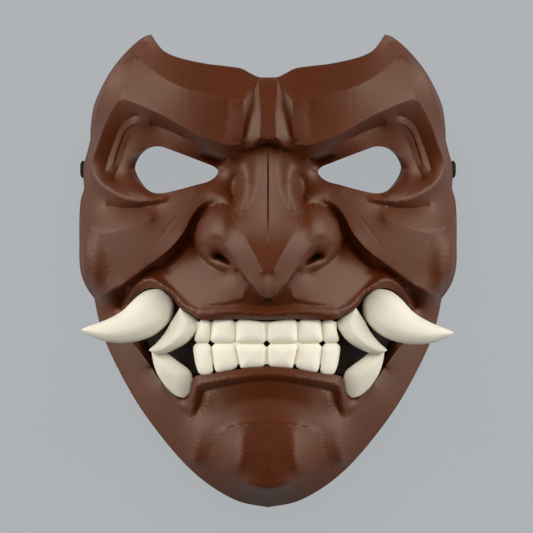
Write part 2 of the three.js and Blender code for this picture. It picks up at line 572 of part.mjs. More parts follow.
// The dark tray: its border touches the back of the lips and its floor carries the teeth
function buildTray() {
  const border = along(trayRun, 4.5);
  border[0].x = 0;
  border.at(-1).x = 0;
  const within = (x, y) => inside(border, x, y);
  const places = [...border, ...fill(border, (x, y) => within(Math.max(x, 0.01), y), 6.5)];
  for (const p of places) {
    const level = trayFloor - rowBend * p.x * p.x;
    const round = [0, 1, 2, 3, 4, 5, 6, 7].map((k) => (k * Math.PI) / 4);
    const lips = round.map((turn) => hollowAt(p.x + 3 * Math.cos(turn), p.y + 3 * Math.sin(turn), trayReach));
    const behind = Math.min(...lips, level + trayRise);
    const floor = Math.min(behind, level);
    p.z = THREE.MathUtils.lerp(behind, floor, smoothstep(distanceTo(border, p.x, p.y), 0.5, trayShoulder));
  }
  const half = triangulate(places).filter(([a, b, c]) => {
    const [p, q, r] = [places[a], places[b], places[c]];
    return within((p.x + q.x + r.x) / 3, (p.y + q.y + r.y) / 3);
  });
  const sheet = mirrorSheet({ points: places, faces: half });
  const count = sheet.points.length;
  const points = [...sheet.points, ...sheet.points.map((p) => new THREE.Vector3(p.x, p.y, p.z - trayWall))];
  const faces = faceUp(points, sheet.faces, true);
  faces.push(...faces.map(([a, b, c]) => [a + count, c + count, b + count]));
  const right = border.map((_, index) => index);
  const loop = [...right, ...right.slice(1, -1).reverse().map((index) => sheet.twin[index])];
  loop.forEach((a, index) => {
    const b = loop[(index + 1) % loop.length];
    faces.push([a, b, b + count], [a, b + count, a + count]);
  });
  return solid("mouth_tray", points, faces, black);
}

// A round cap with a domed face, flat against the side wall
function buildCap(name, side) {
  const { radius, crown: domed, thickness, height, along: level } = strapCap;
  const profile = [[0, 0], [radius, 0], [radius, thickness * 0.45], [radius * 0.85, thickness * 0.8],
    [domed, thickness], [0, thickness]];
  const disc = new THREE.LatheGeometry(profile.map(([r, up]) => new THREE.Vector2(r, up)), 20);
  const geometry = mergeVertices(disc.deleteAttribute("normal").deleteAttribute("uv"), 1e-4);
  const mesh = new THREE.Mesh(geometry, new THREE.MeshStandardMaterial(black));
  const wall = halfLoops.edge.filter((p) => Math.abs(p.y - level) < radius).map((p) => p.x);
  mesh.name = name;
  mesh.rotation.z = (-side * Math.PI) / 2;
  mesh.position.set(side * (Math.max(...wall) + gap), level, height);
  return mesh;
}

const mask = new THREE.Group();
mask.add(buildShell());
const lowerFoot = (x) => lowerRow.foot + lowerRow.slope * Math.abs(x);
mask.add(buildTeeth("upper_teeth", () => upperRow.top, () => biteLine + gap / 2, upperRow.end));
mask.add(buildTeeth("lower_teeth", () => biteLine - gap / 2, lowerFoot, lowerRow.end));
for (const [name, side] of [["left", -1], ["right", 1]]) {
  mask.add(buildHorn(`tusk_${name}`, tusk, side, side > 0 ? rightTuskTurn : 0));
  mask.add(buildFang(`upper_fang_${name}`, upperFang, side));
  mask.add(buildFang(`lower_fang_${name}`, lowerFang, side));
  mask.add(buildCap(`strap_cap_${name}`, side));
}
mask.add(buildTray());
mask.position.y = -0.5 * (seen(hornTip).y + seen(edgeRuns.at(-1).at(-1)).y);
export default mask;
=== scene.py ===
import math
import bpy
import bmesh
import numpy as np
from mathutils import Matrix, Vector
from mathutils.geometry import delaunay_2d_cdt
from mathutils.kdtree import KDTree


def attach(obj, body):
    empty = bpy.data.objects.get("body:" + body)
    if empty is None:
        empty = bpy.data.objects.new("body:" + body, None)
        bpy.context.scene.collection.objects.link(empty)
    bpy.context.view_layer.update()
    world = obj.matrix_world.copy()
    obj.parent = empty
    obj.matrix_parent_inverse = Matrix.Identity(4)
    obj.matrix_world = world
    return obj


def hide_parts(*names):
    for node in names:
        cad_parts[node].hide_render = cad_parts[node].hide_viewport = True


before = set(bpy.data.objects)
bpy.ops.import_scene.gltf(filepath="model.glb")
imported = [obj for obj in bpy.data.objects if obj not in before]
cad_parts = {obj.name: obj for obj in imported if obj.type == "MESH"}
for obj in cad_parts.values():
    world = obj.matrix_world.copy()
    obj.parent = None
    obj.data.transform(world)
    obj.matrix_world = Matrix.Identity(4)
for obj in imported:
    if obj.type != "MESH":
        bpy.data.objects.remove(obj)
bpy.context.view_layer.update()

mm = 0.001

# The face is drawn in millimetres as seen from this far in front, one half, with x out from the middle
view = {
    "distance": 2500,
    "shiftY": -0.31,          # the drawing's zero lies this far below the middle of the mask's length
    "width": 266.5,           # what the picture shows across, at the level of the rims
    "centreX": -0.75,
    "centreY": 2.25,
}
splineSteps = 24              # fine points between two drawn ones
midHeight = 72                # about how far forward the fine lines and the swellings lie


def seen(points):
    # near points draw in, and the half drawing gets its real place
    p = np.array(points, dtype=float).reshape(-1, 3)
    near = 1 - p[:, 2] / view["distance"]
    return np.column_stack([p[:, 0] * near, p[:, 1] * near + view["shiftY"], p[:, 2]])


def smoothLine(points, step, closed=False):
    # a centripetal spline through the points, with new points an even step apart
    p = seen(points)
    if closed:
        p = np.vstack([p[-1], p, p[0], p[1]])
    elif len(p) > 2:
        p = np.vstack([2 * p[0] - p[1], p, 2 * p[-1] - p[-2]])
    else:
        n = max(1, round(np.linalg.norm(p[1] - p[0]) / step))
        return p[0] + (p[1] - p[0]) * np.linspace(0, 1, n + 1)[:, None]
    fine = []
    for a, b, c, d in zip(p, p[1:], p[2:], p[3:]):
        t1 = np.linalg.norm(b - a) ** 0.5
        t2 = t1 + np.linalg.norm(c - b) ** 0.5
        t3 = t2 + np.linalg.norm(d - c) ** 0.5
        t = np.linspace(t1, t2, splineSteps, endpoint=False)[:, None]
        a1 = (t1 - t) / t1 * a + t / t1 * b
        a2 = (t2 - t) / (t2 - t1) * b + (t - t1) / (t2 - t1) * c
        a3 = (t3 - t) / (t3 - t2) * c + (t - t2) / (t3 - t2) * d
        b1 = (t2 - t) / t2 * a1 + t / t2 * a2
        b2 = (t3 - t) / (t3 - t1) * a2 + (t - t1) / (t3 - t1) * a3
        fine.append((t2 - t) / (t2 - t1) * b1 + (t - t1) / (t2 - t1) * b2)
    fine = np.vstack(fine + [p[-2:-1]])
    run = np.concatenate([[0], np.cumsum(np.linalg.norm(np.diff(fine, axis=0), axis=1))])
    n = max(1, round(run[-1] / step))
    even = np.linspace(0, run[-1], n + 1)
    line = np.column_stack([np.interp(even, run, fine[:, k]) for k in range(3)])
    return line[:-1] if closed else line


shell = {
    "wall": 3.6,
    "step": 0.72,             # between points of the front
    "backStep": 2.6,          # and of the hollow side
    "crownRound": 0.007,      # the rounding of the face across, per millimetre
    "crownTall": 0.0012,      # and along its height
    "polish": 7,              # rounds of softening
    "polishAll": 0.015,       # how much of it every place gets
    "sharp": 24,              # degrees past which a turn stays a clean crease
    "edgeDepth": 7.0,         # of the turned edge along the forehead and the chin
    "edgeRound": ((0.35, 0.22), (1.0, 0.38)),  # how it rounds over: back, and out
    "edgeRows": (0.25, 0.5, 0.75),             # rows of points down its side wall
    "rimRound": ((0, 0.9, 0.38), (0, 0.28, 0.12), (0.17, 0, 0), (0.83, 0, 0)),  # share of the way, up, out
    "rimInside": 0.6,         # how far up the rim's inner corner is rounded
    "backEdge": (1.25, 1.2),  # behind the edge: the wall's thickness as a share, and the least rise
    "sideRimTop": 64.0,       # between these two heights the side rims rest on the ground
    "sideRimFoot": -30.0,
    "hornRim": 50.0,          # the rim's height behind the horn
    "chinRim": 56.0,          # and behind the chin
    "chinEnd": -118,
    "chinCurve": 1.15,        # how the rim rises to it
    "horn": (58.6, 118),      # the tip of a horn
    "hornNear": 0.978,        # it is drawn in by this
    "hornThin": (0.42, 14),   # share of the wall left at the tip, and how far along the edge that goes
    "hornWall": 3.0,          # from the tip of a horn in to the hollow side
    "hornTurn": 5,            # points of the edge on either side of it
    "holeRows": (0.12, 0.5, 1.0),  # rows of points from the front to the back of a hole's wall
    "holeWall": 2.4,          # its least depth
    "eyeLean": (56, 69, -2.7),    # between these places across, the hole's wall comes to lean by so much
    "mouthLean": (50, 62, -2.2),
    "mouthLeanTop": -33,      # only below this height
    "edge": [
        # forehead, up to the tip of the horn
        [(0, 96.5, 79), (5, 96.8, 78.7), (9, 98.7, 78.1), (13.5, 101, 77.4), (22, 102.3, 76.2),
         (31.5, 103.5, 74), (46.5, 107, 68), (52.5, 110, 64), (56, 114, 60), (58.6, 118, 56)],
        # temple
        [(58.6, 118, 56), (61.5, 117, 54), (66.5, 113.4, 51), (73, 106.8, 48), (79, 98.8, 44),
         (84, 89.5, 39), (87, 81.5, 34), (88.3, 72, 30), (88.5, 65.5, 28.5)],
        # cheek
        [(88.5, 65.5, 28.5), (90, 59.5, 28), (91.8, 53, 27.5), (92, 46.5, 27), (91.7, 41.5, 27.5),
         (93.3, 35.5, 29), (94, 26, 32), (94, 15, 34), (93.8, 3, 33.5), (92.3, -4, 31.5),
         (89.5, -9.5, 28.5), (86.5, -13.5, 25)],
        # jaw
        [(86.5, -13.5, 25), (85.5, -19, 25), (84, -25.5, 26.5), (81, -35, 29), (74, -50, 35.4),
         (64, -67.5, 42.8), (51.5, -84.5, 50.2), (39, -98.5, 56.6), (26.5, -108.5, 61.5), (14, -115, 64),
         (0, -117.8, 65)],
    ],
    "eye": [
        (25, 50, 66), (26.6, 52, 65.6), (32.5, 54.5, 66.4), (41.5, 58, 66.7), (49, 60.8, 64.7),
        (54, 62.4, 62), (58.5, 62, 59.2), (62.5, 60.3, 55.5), (66.5, 57.3, 52), (69.2, 52, 48.5),
        (68, 48, 50), (65, 44.3, 54), (61, 41, 58.2), (57.5, 39.3, 61), (54, 38.9, 63), (46.5, 40.3, 66),
        (36.5, 43, 67.8), (29.5, 45, 67.8), (26, 47.6, 66.8)],
    "mouth": [
        (0, -24.5, 84.5), (14, -24, 83.5), (34, -24, 79), (39, -21, 75), (44.2, -18.2, 71),
        (49.2, -11.5, 64.5), (54, -9, 60), (59, -8.5, 56), (63.7, -10.5, 51), (67.6, -14.8, 45),
        (71.3, -18.3, 41), (73.2, -21.5, 39), (71.5, -27, 40), (67.5, -33, 43), (65, -35.5, 44.5),
        (61, -42.8, 48), (57.2, -50, 51.5), (53.7, -54.9, 54.5), (49.7, -58.9, 57.5), (45.8, -61.9, 60.2),
        (42.4, -63.2, 62.4), (39.6, -61.9, 65.2), (38.2, -58.3, 67.7), (38, -55, 70), (36.5, -52.8, 73),
        (26.5, -51, 78), (14, -49, 82), (0, -47.5, 83.5)],
}

# Every turn of the carving is a line with its height at each point
creases = {
    "foreheadBevel": [
        (66, 107.5, 57), (63, 105.3, 61.3), (59, 101.3, 66.3), (55.5, 98.8, 70), (51.5, 96.3, 73.6),
        (47.5, 94, 76.8), (44, 92.5, 79), (40, 91, 81), (35, 89.8, 82.6), (30, 88.5, 83.9), (25, 87, 84.9),
        (19, 85.8, 85.8), (12.5, 84.8, 86.6)],
    "hornCrease": [(61, 114.8, 55), (63.5, 111.8, 55.8), (66, 107.5, 57)],
    "temple": [(66, 107.5, 58), (67.5, 102.5, 59.6), (70, 96.5, 61), (72.5, 90.5, 62.2), (73.5, 86.5, 63)],
    "templeRim": [
        (66, 107.5, 57), (69, 106.5, 56.4), (72.5, 104.5, 55.8), (76, 101.3, 55), (78.6, 97.3, 54.2),
        (81.3, 92.3, 52.6), (83.6, 87, 49.6), (85.2, 82.3, 46.2), (86.4, 77.5, 41.8), (87, 73.5, 37.8)],
    "frownPanel": [(12.5, 84.8, 86.2), (12.2, 78, 87), (12.4, 70, 87.4), (13.2, 66.3, 87.4)],
    "frownHollow": [(20.5, 85.4, 84.8), (21, 76, 84.8), (22.5, 66.8, 85.6)],
    "frownFacet": [(12.5, 84.8, 86.2), (9.5, 90, 82.8), (6.4, 95, 79.2)],
    "frownCrack": [
        (5.6, 96, 78.8), (6.6, 90.5, 81.6), (8.5, 81.5, 84.2), (10.4, 73.5, 85.4), (12, 66.5, 85.8)],
    "frownLine": [(4.5, 94, 81.8), (4.7, 80.5, 88.2), (5.1, 69, 91)],
    "frownBar": [(3.3, 96, 80.4), (3.5, 80.5, 88.8), (4, 67.2, 92)],
    "frownFoot": [
        (12.2, 63.4, 85), (10.8, 61.4, 84.8), (8.6, 61.3, 85.6), (6, 63.8, 88.8), (4.1, 66.1, 91.4),
        (2.2, 65.4, 91.8), (0, 65.1, 91.8)],
    "noseRoot": [(0, 63.5, 80.2), (3, 62.5, 80), (6.5, 60.9, 79.6), (9.5, 59.6, 79.4), (11.5, 58.8, 79.6)],
    "browRidge": [
        (73.5, 86.5, 63), (69, 85, 66.6), (63, 82.7, 71.2), (58, 80.4, 74.9), (54, 78.6, 77.4),
        (49, 75.9, 79.9), (44, 73, 82), (39, 70.2, 83.7), (34, 67.6, 85), (31, 66.3, 85.7),
        (28, 65.2, 86.3), (24, 63.7, 87), (19, 63, 87.6), (15.5, 63.4, 87.8)],
    "browLid": [
        (58, 73.8, 64.4), (55.5, 72.5, 64.5), (51.5, 71, 66.2), (46.5, 68.8, 68.8), (41.5, 66.5, 71.8),
        (36.5, 64.3, 74.8), (31.5, 62, 77.6), (28, 60.6, 79.2), (25, 59, 80.2), (21.5, 57.6, 80.8),
        (18, 57, 80.8), (14.5, 57.8, 80.4), (11.5, 58.8, 79.6)],
    "frameOuter": [
        (73.5, 86.5, 63), (75, 85, 61.5), (78, 80.5, 57), (81, 74.5, 52.3), (84, 66.5, 48),
        (86, 60.5, 45.2), (87.8, 55.3, 42.5), (88.5, 52, 41.5), (88, 48.5, 42.5)],
    "lidEdge": [
        (88, 48.5, 42.5), (85.5, 45, 45.5), (82.5, 42.5, 48.8), (78, 40, 52.5), (73.5, 37.5, 55.8),
        (69, 35.5, 58.8), (64, 34.5, 61.7), (59, 34.4, 64), (55, 34.9, 65.4), (51.5, 35.6, 66.2)],
    "frameInner": [
        (65.5, 77.7, 61.9), (70, 76.2, 58.2), (73, 73.2, 54.4), (75.5, 68.4, 50.3), (77.5, 63, 47.2),
        (79.3, 58, 44.8), (80.5, 54, 43.4), (81.5, 50.5, 43.2)],
    "stepUpper": [
        (59.5, 74.3, 65.8), (62.5, 74.7, 64.2), (66.5, 74, 60.6), (70, 72.2, 56.6), (72.5, 68.9, 52.9),
        (74.5, 64, 49.6), (76.3, 58.5, 47), (77.4, 54.5, 45.6), (78.8, 50.5, 44.6)],
    "stepFlat": [
        (62.6, 73.8, 63.4), (66, 73, 59.8), (69.2, 71.2, 55.9), (71.6, 68.2, 52.4), (73.5, 63.6, 49.2),
        (75.2, 58.3, 46.7), (76.4, 54.2, 45.3)],
    "stepLower": [
        (60, 73.2, 63.8), (62.5, 72.3, 62), (65.8, 70, 58), (68.6, 66.8, 53.7), (70.6, 62.8, 50.3),
        (72.2, 58, 48), (73.8, 54, 46.4), (75.5, 50, 45.2), (77.3, 47, 44.9)],
    "eyeDeep": [(33.5, 57.3, 66), (29.5, 56, 63.5), (25.5, 55, 62.6), (22.8, 54.6, 64.6)],
    "eyeCornerFoot": [(21.3, 56, 69.5), (22, 54, 68), (23.3, 50.5, 66.6)],
    "eyeUnder": [(78, 43.5, 50.2), (74, 41, 53.2), (69, 39.3, 56.8), (64, 38.6, 60.2), (59, 38.3, 62.6)],
    "bagFoot": [
        (80, 33, 46.6), (75.5, 31.8, 49.8), (71, 31.4, 52.4), (67, 31.5, 55), (63, 32, 57.4),
        (59, 32.8, 59.8), (55, 33.8, 62.4), (51, 35, 64.8), (46.5, 36.3, 66.7), (41, 37.8, 68.2),
        (36, 39.6, 69.4)],
    "cheekbone": [
        (93, 26, 37.4), (92, 24, 40.6), (90, 22.3, 44.5), (88, 21, 47.1), (85.5, 20.3, 49.7),
        (82, 20, 52.3), (79, 20, 54.5), (75.5, 20.3, 56.9), (72, 21, 59.2), (68.5, 22.3, 61.4),
        (65, 23.8, 63.3), (61.5, 25, 65.1), (58, 26.5, 66.8)],
    "cheekTurnIn": [(81.5, 18.5, 52.2), (81, 6, 50.5), (80.5, -4, 47.6)],
    "cheekTurnOut": [(86.7, 18.7, 48.4), (87, 8, 48.5), (86.9, -2, 45.8), (85.8, -9, 40.6)],
    "cheekRim": [(91.6, 17.5, 43), (91.9, 8, 43.8), (91.2, 0, 41.3), (89.4, -6.5, 36.5)],
    "cheekEdge": [
        (84.6, -12.8, 36), (81.5, -11.3, 44), (78, -9.3, 48.8), (74, -7.3, 52.6), (70, -4.5, 55.8),
        (66.5, -2, 58.6), (63, 0.8, 61), (60, 3, 63), (56.5, 5.5, 65.4), (53, 8, 67.6), (50, 10.5, 69.4),
        (47.5, 13, 70.8), (45, 16, 71.8), (42.7, 19, 72), (40.8, 22.3, 71.6), (39.3, 25.5, 71.2),
        (37.4, 28.8, 71), (35, 31.8, 71), (32.7, 33.8, 71.2), (30, 35, 71.8), (26.5, 35.6, 73.2),
        (23, 35.5, 75.4), (19.8, 34.7, 77.8)],
    "ledgeTop": [(30.5, 36.6, 71.3), (27, 37.4, 73.2), (22.5, 37.6, 75.3), (18.4, 37.3, 77)],
    "wingFoot": [
        (18.2, 31.9, 81.5), (19.5, 32.9, 79), (22, 33.7, 76.4), (25.5, 33.7, 73.6), (28, 32.9, 71),
        (30.5, 31.1, 67.6), (33, 28.8, 64.2), (35.5, 26, 62.2), (36.8, 23.5, 61.2), (37.9, 20, 60.5),
        (38.3, 16.5, 60.5), (37.6, 13, 62.5), (36, 10, 65.5), (33.8, 7.2, 69), (31.4, 4.8, 72),
        (28.5, 2.4, 75), (25.6, 0.7, 77.4), (23, -0.4, 79), (21.2, -1, 80.6), (20, 0.4, 83.2)],
    "wingShoulder": [
        (20, 31.3, 82.4), (22.4, 32.2, 79.4), (25.4, 32.4, 76.7), (28.2, 31.6, 75), (30.8, 29.7, 73.6),
        (33, 27.3, 72.2), (35, 24.4, 71.2), (36.4, 21, 70.6), (37.1, 17.6, 70.4), (36.8, 14.4, 71),
        (35.3, 11.4, 72.4), (33, 8.6, 74.4), (30.6, 6.2, 76.8), (28, 4.1, 78.8), (25.2, 2.6, 80.4),
        (22.6, 1.6, 82)],
    "noseValley": [
        (15.6, 49.5, 74.5), (16.8, 46, 70), (18, 41.5, 68.8), (18, 37.6, 71.5), (17.2, 34.4, 77)],
    "noseShoulder": [
        (11, 56.5, 79.4), (11, 47, 81.8), (11, 40.5, 83.6), (12.3, 35.5, 84.3), (14.6, 30.8, 85)],
    "noseEdge": [
        (6, 58.5, 80.6), (6, 52, 81.8), (6, 46.8, 83.2), (6.5, 40.5, 85.2), (9, 35.5, 85.6), (11, 31.5, 86),
        (14, 28.3, 86.4), (16, 26, 87)],
    "noseRidge": [
        (17, 26, 86.8), (16.2, 22.6, 89.2), (14, 19.4, 92.4), (11.6, 16.6, 95.8), (9.2, 13, 99.4),
        (7, 8.9, 102), (5, 5.1, 103.6), (3.5, 2, 104.4), (2.8, -0.5, 104.7)],
    "noseMiddle": [
        (0, 62.5, 81.8), (0, 45.5, 88), (0, 25.5, 96.5), (0, 16, 100), (0, 8, 102.8), (0, 0, 104.5),
        (0, -6, 104.8), (0, -11, 103.4)],
    "noseCrest": [
        (0.55, 62, 82.6), (0.55, 45.5, 88.9), (0.55, 25.5, 97.2), (0.7, 16, 100.4), (0.8, 10, 102.2)],
    "tipEdge": [
        (16.5, 5.2, 90.4), (14, 1.3, 92.6), (11, -2.7, 95), (9, -5.8, 96.6), (6, -9.2, 98.4),
        (3, -12, 99.8), (0, -13, 100.2)],
    "tipFoot": [
        (15.4, 0.4, 86.8), (12.4, -3.6, 88), (9.8, -6.6, 88.8), (6, -10.4, 89.2), (3, -13.1, 88.8),
        (0, -14, 88.6)],
    "nostrilArc": [
        (33.4, 12.2, 75), (31.7, 14.9, 78.8), (28.2, 16.1, 82.4), (24.5, 15.4, 85.4), (22, 13.4, 87.2),
        (20, 11, 88.6), (18.4, 8.4, 89.6), (16.5, 5.2, 90.4)],
    "nostrilTop": [
        (26.9, 7.6, 76.5), (25, 9, 79), (23, 8.8, 81.4), (21, 7.1, 83.8), (19.2, 5.2, 86), (17.6, 3.7, 88)],
    "nostrilDeep": [(25.6, 7.4, 70), (23.2, 7.1, 71), (21, 5.6, 73.5), (19.3, 4.3, 78)],
    "nostrilFoot": [
        (26.7, 6, 78.2), (24.5, 4.9, 80.6), (22, 3.8, 82.4), (19, 2.6, 85.2), (17.2, 2.2, 87.2)],
    "philtrumEdge": [(9.8, -7.4, 88.9), (11, -9, 88.6), (12.3, -11.6, 88.3), (13.6, -14, 87.7)],
    "philtrumMiddle": [(0, -15.6, 87.6), (6, -14.6, 87.8)],
    "foldValley": [
        (38.7, 16.4, 60), (40, 13.6, 59), (43, 10.2, 58.2), (46, 7.2, 57.8), (49.3, 3.7, 57),
        (51.5, 2, 56.2), (54, 1, 55), (57.5, 0.6, 53.4), (60.5, -0.5, 51.8), (63.5, -2.3, 49.2),
        (66.5, -4.8, 45.6), (69, -7.7, 41), (71, -11.3, 36.4), (72.3, -14.5, 33.6), (73.2, -17.4, 32.2)],
    "foldRidge": [
        (38.5, 11.5, 63.4), (40, 10.2, 63.8), (42, 8.4, 63.6), (45, 5.6, 62.8), (48, 3, 61.4),
        (50, 1.5, 59.8)],
    "cheekFoot": [
        (85.5, -13.6, 29), (84, -14.2, 34), (82, -15, 36.5), (79, -15.8, 38), (76, -16.8, 37.5),
        (73.6, -17.2, 33)],
    "lipPlane": [
        (55, -1.2, 57), (53, -1.9, 58.8), (50, -3.6, 61.8), (47, -6, 65.2), (44, -9, 68.8), (41, -12, 72),
        (39, -14, 74.1), (36.5, -16, 76.5), (31.5, -16.3, 80), (26.5, -16.3, 83), (21.5, -15.8, 85.2),
        (17.5, -15.1, 86.5), (14, -14.6, 87.2), (9, -15.8, 87), (4, -16.5, 86.8), (0, -17, 86.8)],
    "rollGroove": [
        (57, -1.5, 56), (55, -2.5, 57.8), (52.5, -4.1, 60.1), (50, -6.1, 62.7), (47.5, -8.4, 65.5),
        (45, -10.7, 68.4), (42.5, -13.1, 71.3), (40, -15.3, 73.8), (37.5, -17, 75.9), (34.5, -17.3, 77.9),
        (31.5, -17.2, 79.4), (26.5, -17.2, 81.8), (21.5, -16.8, 83.7), (17.5, -16.1, 85.1), (14, -15.6, 86),
        (9, -16.8, 85.8), (4, -17.5, 85.6), (0, -18, 85.6)],
    "upperLip": [
        (72.4, -18.2, 40.5), (71.4, -14.5, 44.2), (69.7, -10.5, 48.2), (67.5, -7.4, 52), (64.5, -5, 55.8),
        (61, -3.7, 58.8), (58, -3.7, 61), (55, -5, 63.4), (52, -7.6, 66.2), (49, -10.8, 69),
        (46, -14, 71.8), (43.5, -16.6, 74), (41, -18.6, 76.2), (38.5, -20, 78.2), (35.5, -20.6, 80),
        (31.5, -20.6, 82.2), (26.5, -20.7, 84.5), (21.5, -20.8, 86.4), (16.5, -21, 87.8), (9, -21.3, 88.8),
        (0, -21.8, 89.2)],
    "lowerLip": [
        (39.6, -65, 67.6), (38.8, -61, 71), (37, -58, 73.4), (34, -56.6, 76), (30, -55.8, 78.8),
        (20, -53.8, 83.3), (10, -52.2, 85.9), (0, -51.4, 86.6)],
    "underLip": [
        (32.6, -60.7, 71), (29, -59.5, 74.2), (25.5, -58.6, 76.6), (21.5, -57.8, 78.6), (17, -56.9, 80.3),
        (11.5, -55.9, 81.9), (6.5, -55.3, 82.7), (0, -54.9, 83)],
    "cornerGroove": [
        (32.6, -60.7, 71), (32.9, -64.3, 69.4), (33.9, -67.5, 67.9), (35.1, -70, 67), (36.3, -71.9, 66.9)],
    "cornerFront": [(30.2, -61.6, 74.4), (31, -65.5, 73), (32.3, -69.5, 70.7), (34.3, -72.8, 68.6)],
    "cornerBulge": [(35.8, -61.8, 72.6), (36.3, -65, 71), (37, -68.3, 69.2), (38, -71, 67.5)],
    "chinHollow": [(0, -64, 80.4), (10, -65, 80), (20, -67, 77.8)],
    "chinCrease": [
        (23.5, -78.3, 76.6), (21, -77.5, 78.2), (18, -76.8, 80), (14, -76, 82), (9, -75.5, 83.2),
        (4, -75.2, 83.7), (0, -75, 83.8)],
    "chinStep": [
        (23.7, -79.2, 77), (21, -78.5, 79), (18, -77.8, 81), (14, -77, 83.2), (9, -76.5, 84.6),
        (4, -76.2, 85.1), (0, -76, 85.2)],
    "chinFront": [(0, -88, 86.6), (0, -100, 85.8)],
    "chinTurn": [(12.5, -82, 85), (13, -90, 85), (14.5, -98, 83)],
    "chinValley": [(28, -77, 74), (28.8, -84, 72.6), (30, -91, 69.8), (30.5, -96, 67.6)],
    "chinRoll": [(34.5, -79, 69.6), (36, -88, 67.8), (37, -95, 65.2)],
    "chinBevel": [
        (38, -99.2, 56.6), (36, -99.2, 59), (32.5, -98.7, 63.4), (29, -98.5, 67.2), (25.5, -98.8, 70.8),
        (22, -99.8, 74.2), (18, -101.5, 77.4), (14, -103.5, 80), (11, -105.3, 81.6), (7, -107, 82.8),
        (3, -108.3, 83.4), (0, -108.8, 83.6)],
    "lipBorder": [
        (67.5, -36, 44.6), (63.5, -41, 48.2), (59.5, -46.5, 51.8), (56.3, -50.7, 54.4), (52.8, -56, 57.4),
        (48.8, -60.5, 60.2), (44.8, -64.5, 62.6), (42.5, -68.5, 63.9), (39.5, -72, 65)],
}

# How softly the surface turns near a line: the reach in millimetres and the strength
softness = {
    "noseShoulder": (5, 0.5),
    "noseEdge": (4, 0.5),
    "noseValley": (4, 0.4),
    "lidEdge": (2.6, 0.4),
    "wingShoulder": (2.4, 0.45),
    "cornerGroove": (1.6, 0.3),
    "ledgeTop": (2, 0.4),
    "cheekRim": (2.6, 0.4),
    "cheekTurnIn": (8, 0.5),
    "cheekTurnOut": (6, 0.5),
    "eyeUnder": (4, 0.4),
    "chinFront": (14, 0.6),
    "chinTurn": (8, 0.6),
    "chinValley": (9, 0.6),
    "chinRoll": (9, 0.6),
    "chinHollow": (9, 0.5),
    "upperLip": (4, 0.6),
    "rollGroove": (1.8, 0.35),
    "lowerLip": (3.4, 0.5),
    "cornerBulge": (4, 0.5),
    "cornerFront": (3, 0.5),
    "frownFoot": (1.2, 0.3),
    "frownHollow": (7, 0.5),
    "philtrumMiddle": (4, 0.4),
}

# Places that swell like a skin over air: how hard, and the outline
swellings = {
    "noseWing": (0.22, [
        (20.5, 30), (22.5, 33.2), (28, 32.8), (33, 28.6), (36.8, 23), (38, 16.5), (36, 10), (32, 5.6),
        (31, 9), (33, 12.6), (31.5, 15.3), (28, 16.3), (24.5, 15.4), (22, 14), (20.5, 20)]),
    "nostril": (0.12, [
        (33, 12.6), (31.5, 15.3), (28, 16.3), (24.5, 15.4), (22, 13.4), (20, 11), (18.4, 8.4),
        (19, 5.4), (23, 8.9), (27, 7.8), (26.8, 6), (30, 4.4), (34, 8)]),
}

# Fine lines in the surface: the depth, below zero where the line stands up, half the width, and the run
scratches = {
    "foreheadSeam": (0.1, 0.5, [(41.8, 91.3), (41.8, 84), (41.8, 76.5)]),
    "cheekLine": (0.16, 0.5, [(43, 31), (45, 28.3), (50, 22), (55, 15), (57, 12)]),
    "wingLine": (-0.22, 0.7, [(26.5, 26.5), (28.3, 20.5), (29, 17.5)]),
    "jawLine": (0.12, 0.8, [(56, -57), (51.5, -63), (47, -67.5), (42, -71.8), (38.5, -74.5)]),
}
scratchEnds = (0.15, 6)       # the share of its depth that a line keeps at its ends, and how far it grows

# How the open space between the lines is filled with points, and how the surface settles over them
filling = {
    "tall": 121,              # the rows lie this far up and down from the middle
    "wide": 97,               # and run this far out
    "rowShare": 0.87,         # from row to row, as a share of the step in a row
    "stray": 0.04,            # how far a point strays, as a share of the step
    "middleGap": 0.4,         # the room beside the middle line, as a share of the step
    "weights": (0.02, 20),    # the least and the most that one side of a triangle pulls
    "rounds": 900,
    "rest": 1e-7,             # what is left to settle when it ends
}


def insideOf(loop, x, y):
    a, b = loop[:, :2], np.roll(loop[:, :2], -1, axis=0)
    odd = np.zeros(len(x), dtype=bool)
    for (ax, ay), (bx, by) in zip(a, b):
        if ay == by:
            continue
        crosses = ((ay > y) != (by > y)) & (x < (bx - ax) * (y - ay) / (by - ay) + ax)
        odd ^= crosses
    return odd


def awayFrom(line, p):
    # the distance of many places from one line, seen from the front
    best = np.full(len(p), 1e9)
    for a, b in zip(line[:-1, :2], line[1:, :2]):
        d = b - a
        t = np.clip(((p[:, :2] - a) @ d) / max(d @ d, 1e-9), 0, 1)
        best = np.minimum(best, np.hypot(p[:, 0] - a[0] - t * d[0], p[:, 1] - a[1] - t * d[1]))
    return best


def flatTree(points):
    # finds the points that lie near one another as seen from the front
    tree = KDTree(len(points))
    for n, p in enumerate(points):
        tree.insert((p[0], p[1], 0), n)
    tree.balance()
    return tree


def fillBetween(taken, allowed, step, reach=0.62):
    # rows of points in the open space, each clear of the lines that are there already
    tree = flatTree(taken)
    extra = []
    for n, y in enumerate(np.arange(filling["tall"], -filling["tall"], -step * filling["rowShare"])):
        x = np.arange((n % 2) * step * 0.5, filling["wide"], step)
        stray = filling["stray"] * step
        place = np.column_stack([x + stray * np.sin(7 * y + 3 * x) * (x > 0), y + stray * np.sin(5 * x + y)])
        ok = allowed(np.maximum(place[:, 0], 0.01), place[:, 1])
        extra += [q for q in place[ok] if tree.find((q[0], q[1], 0))[2] > step * reach]
    return np.array(extra)


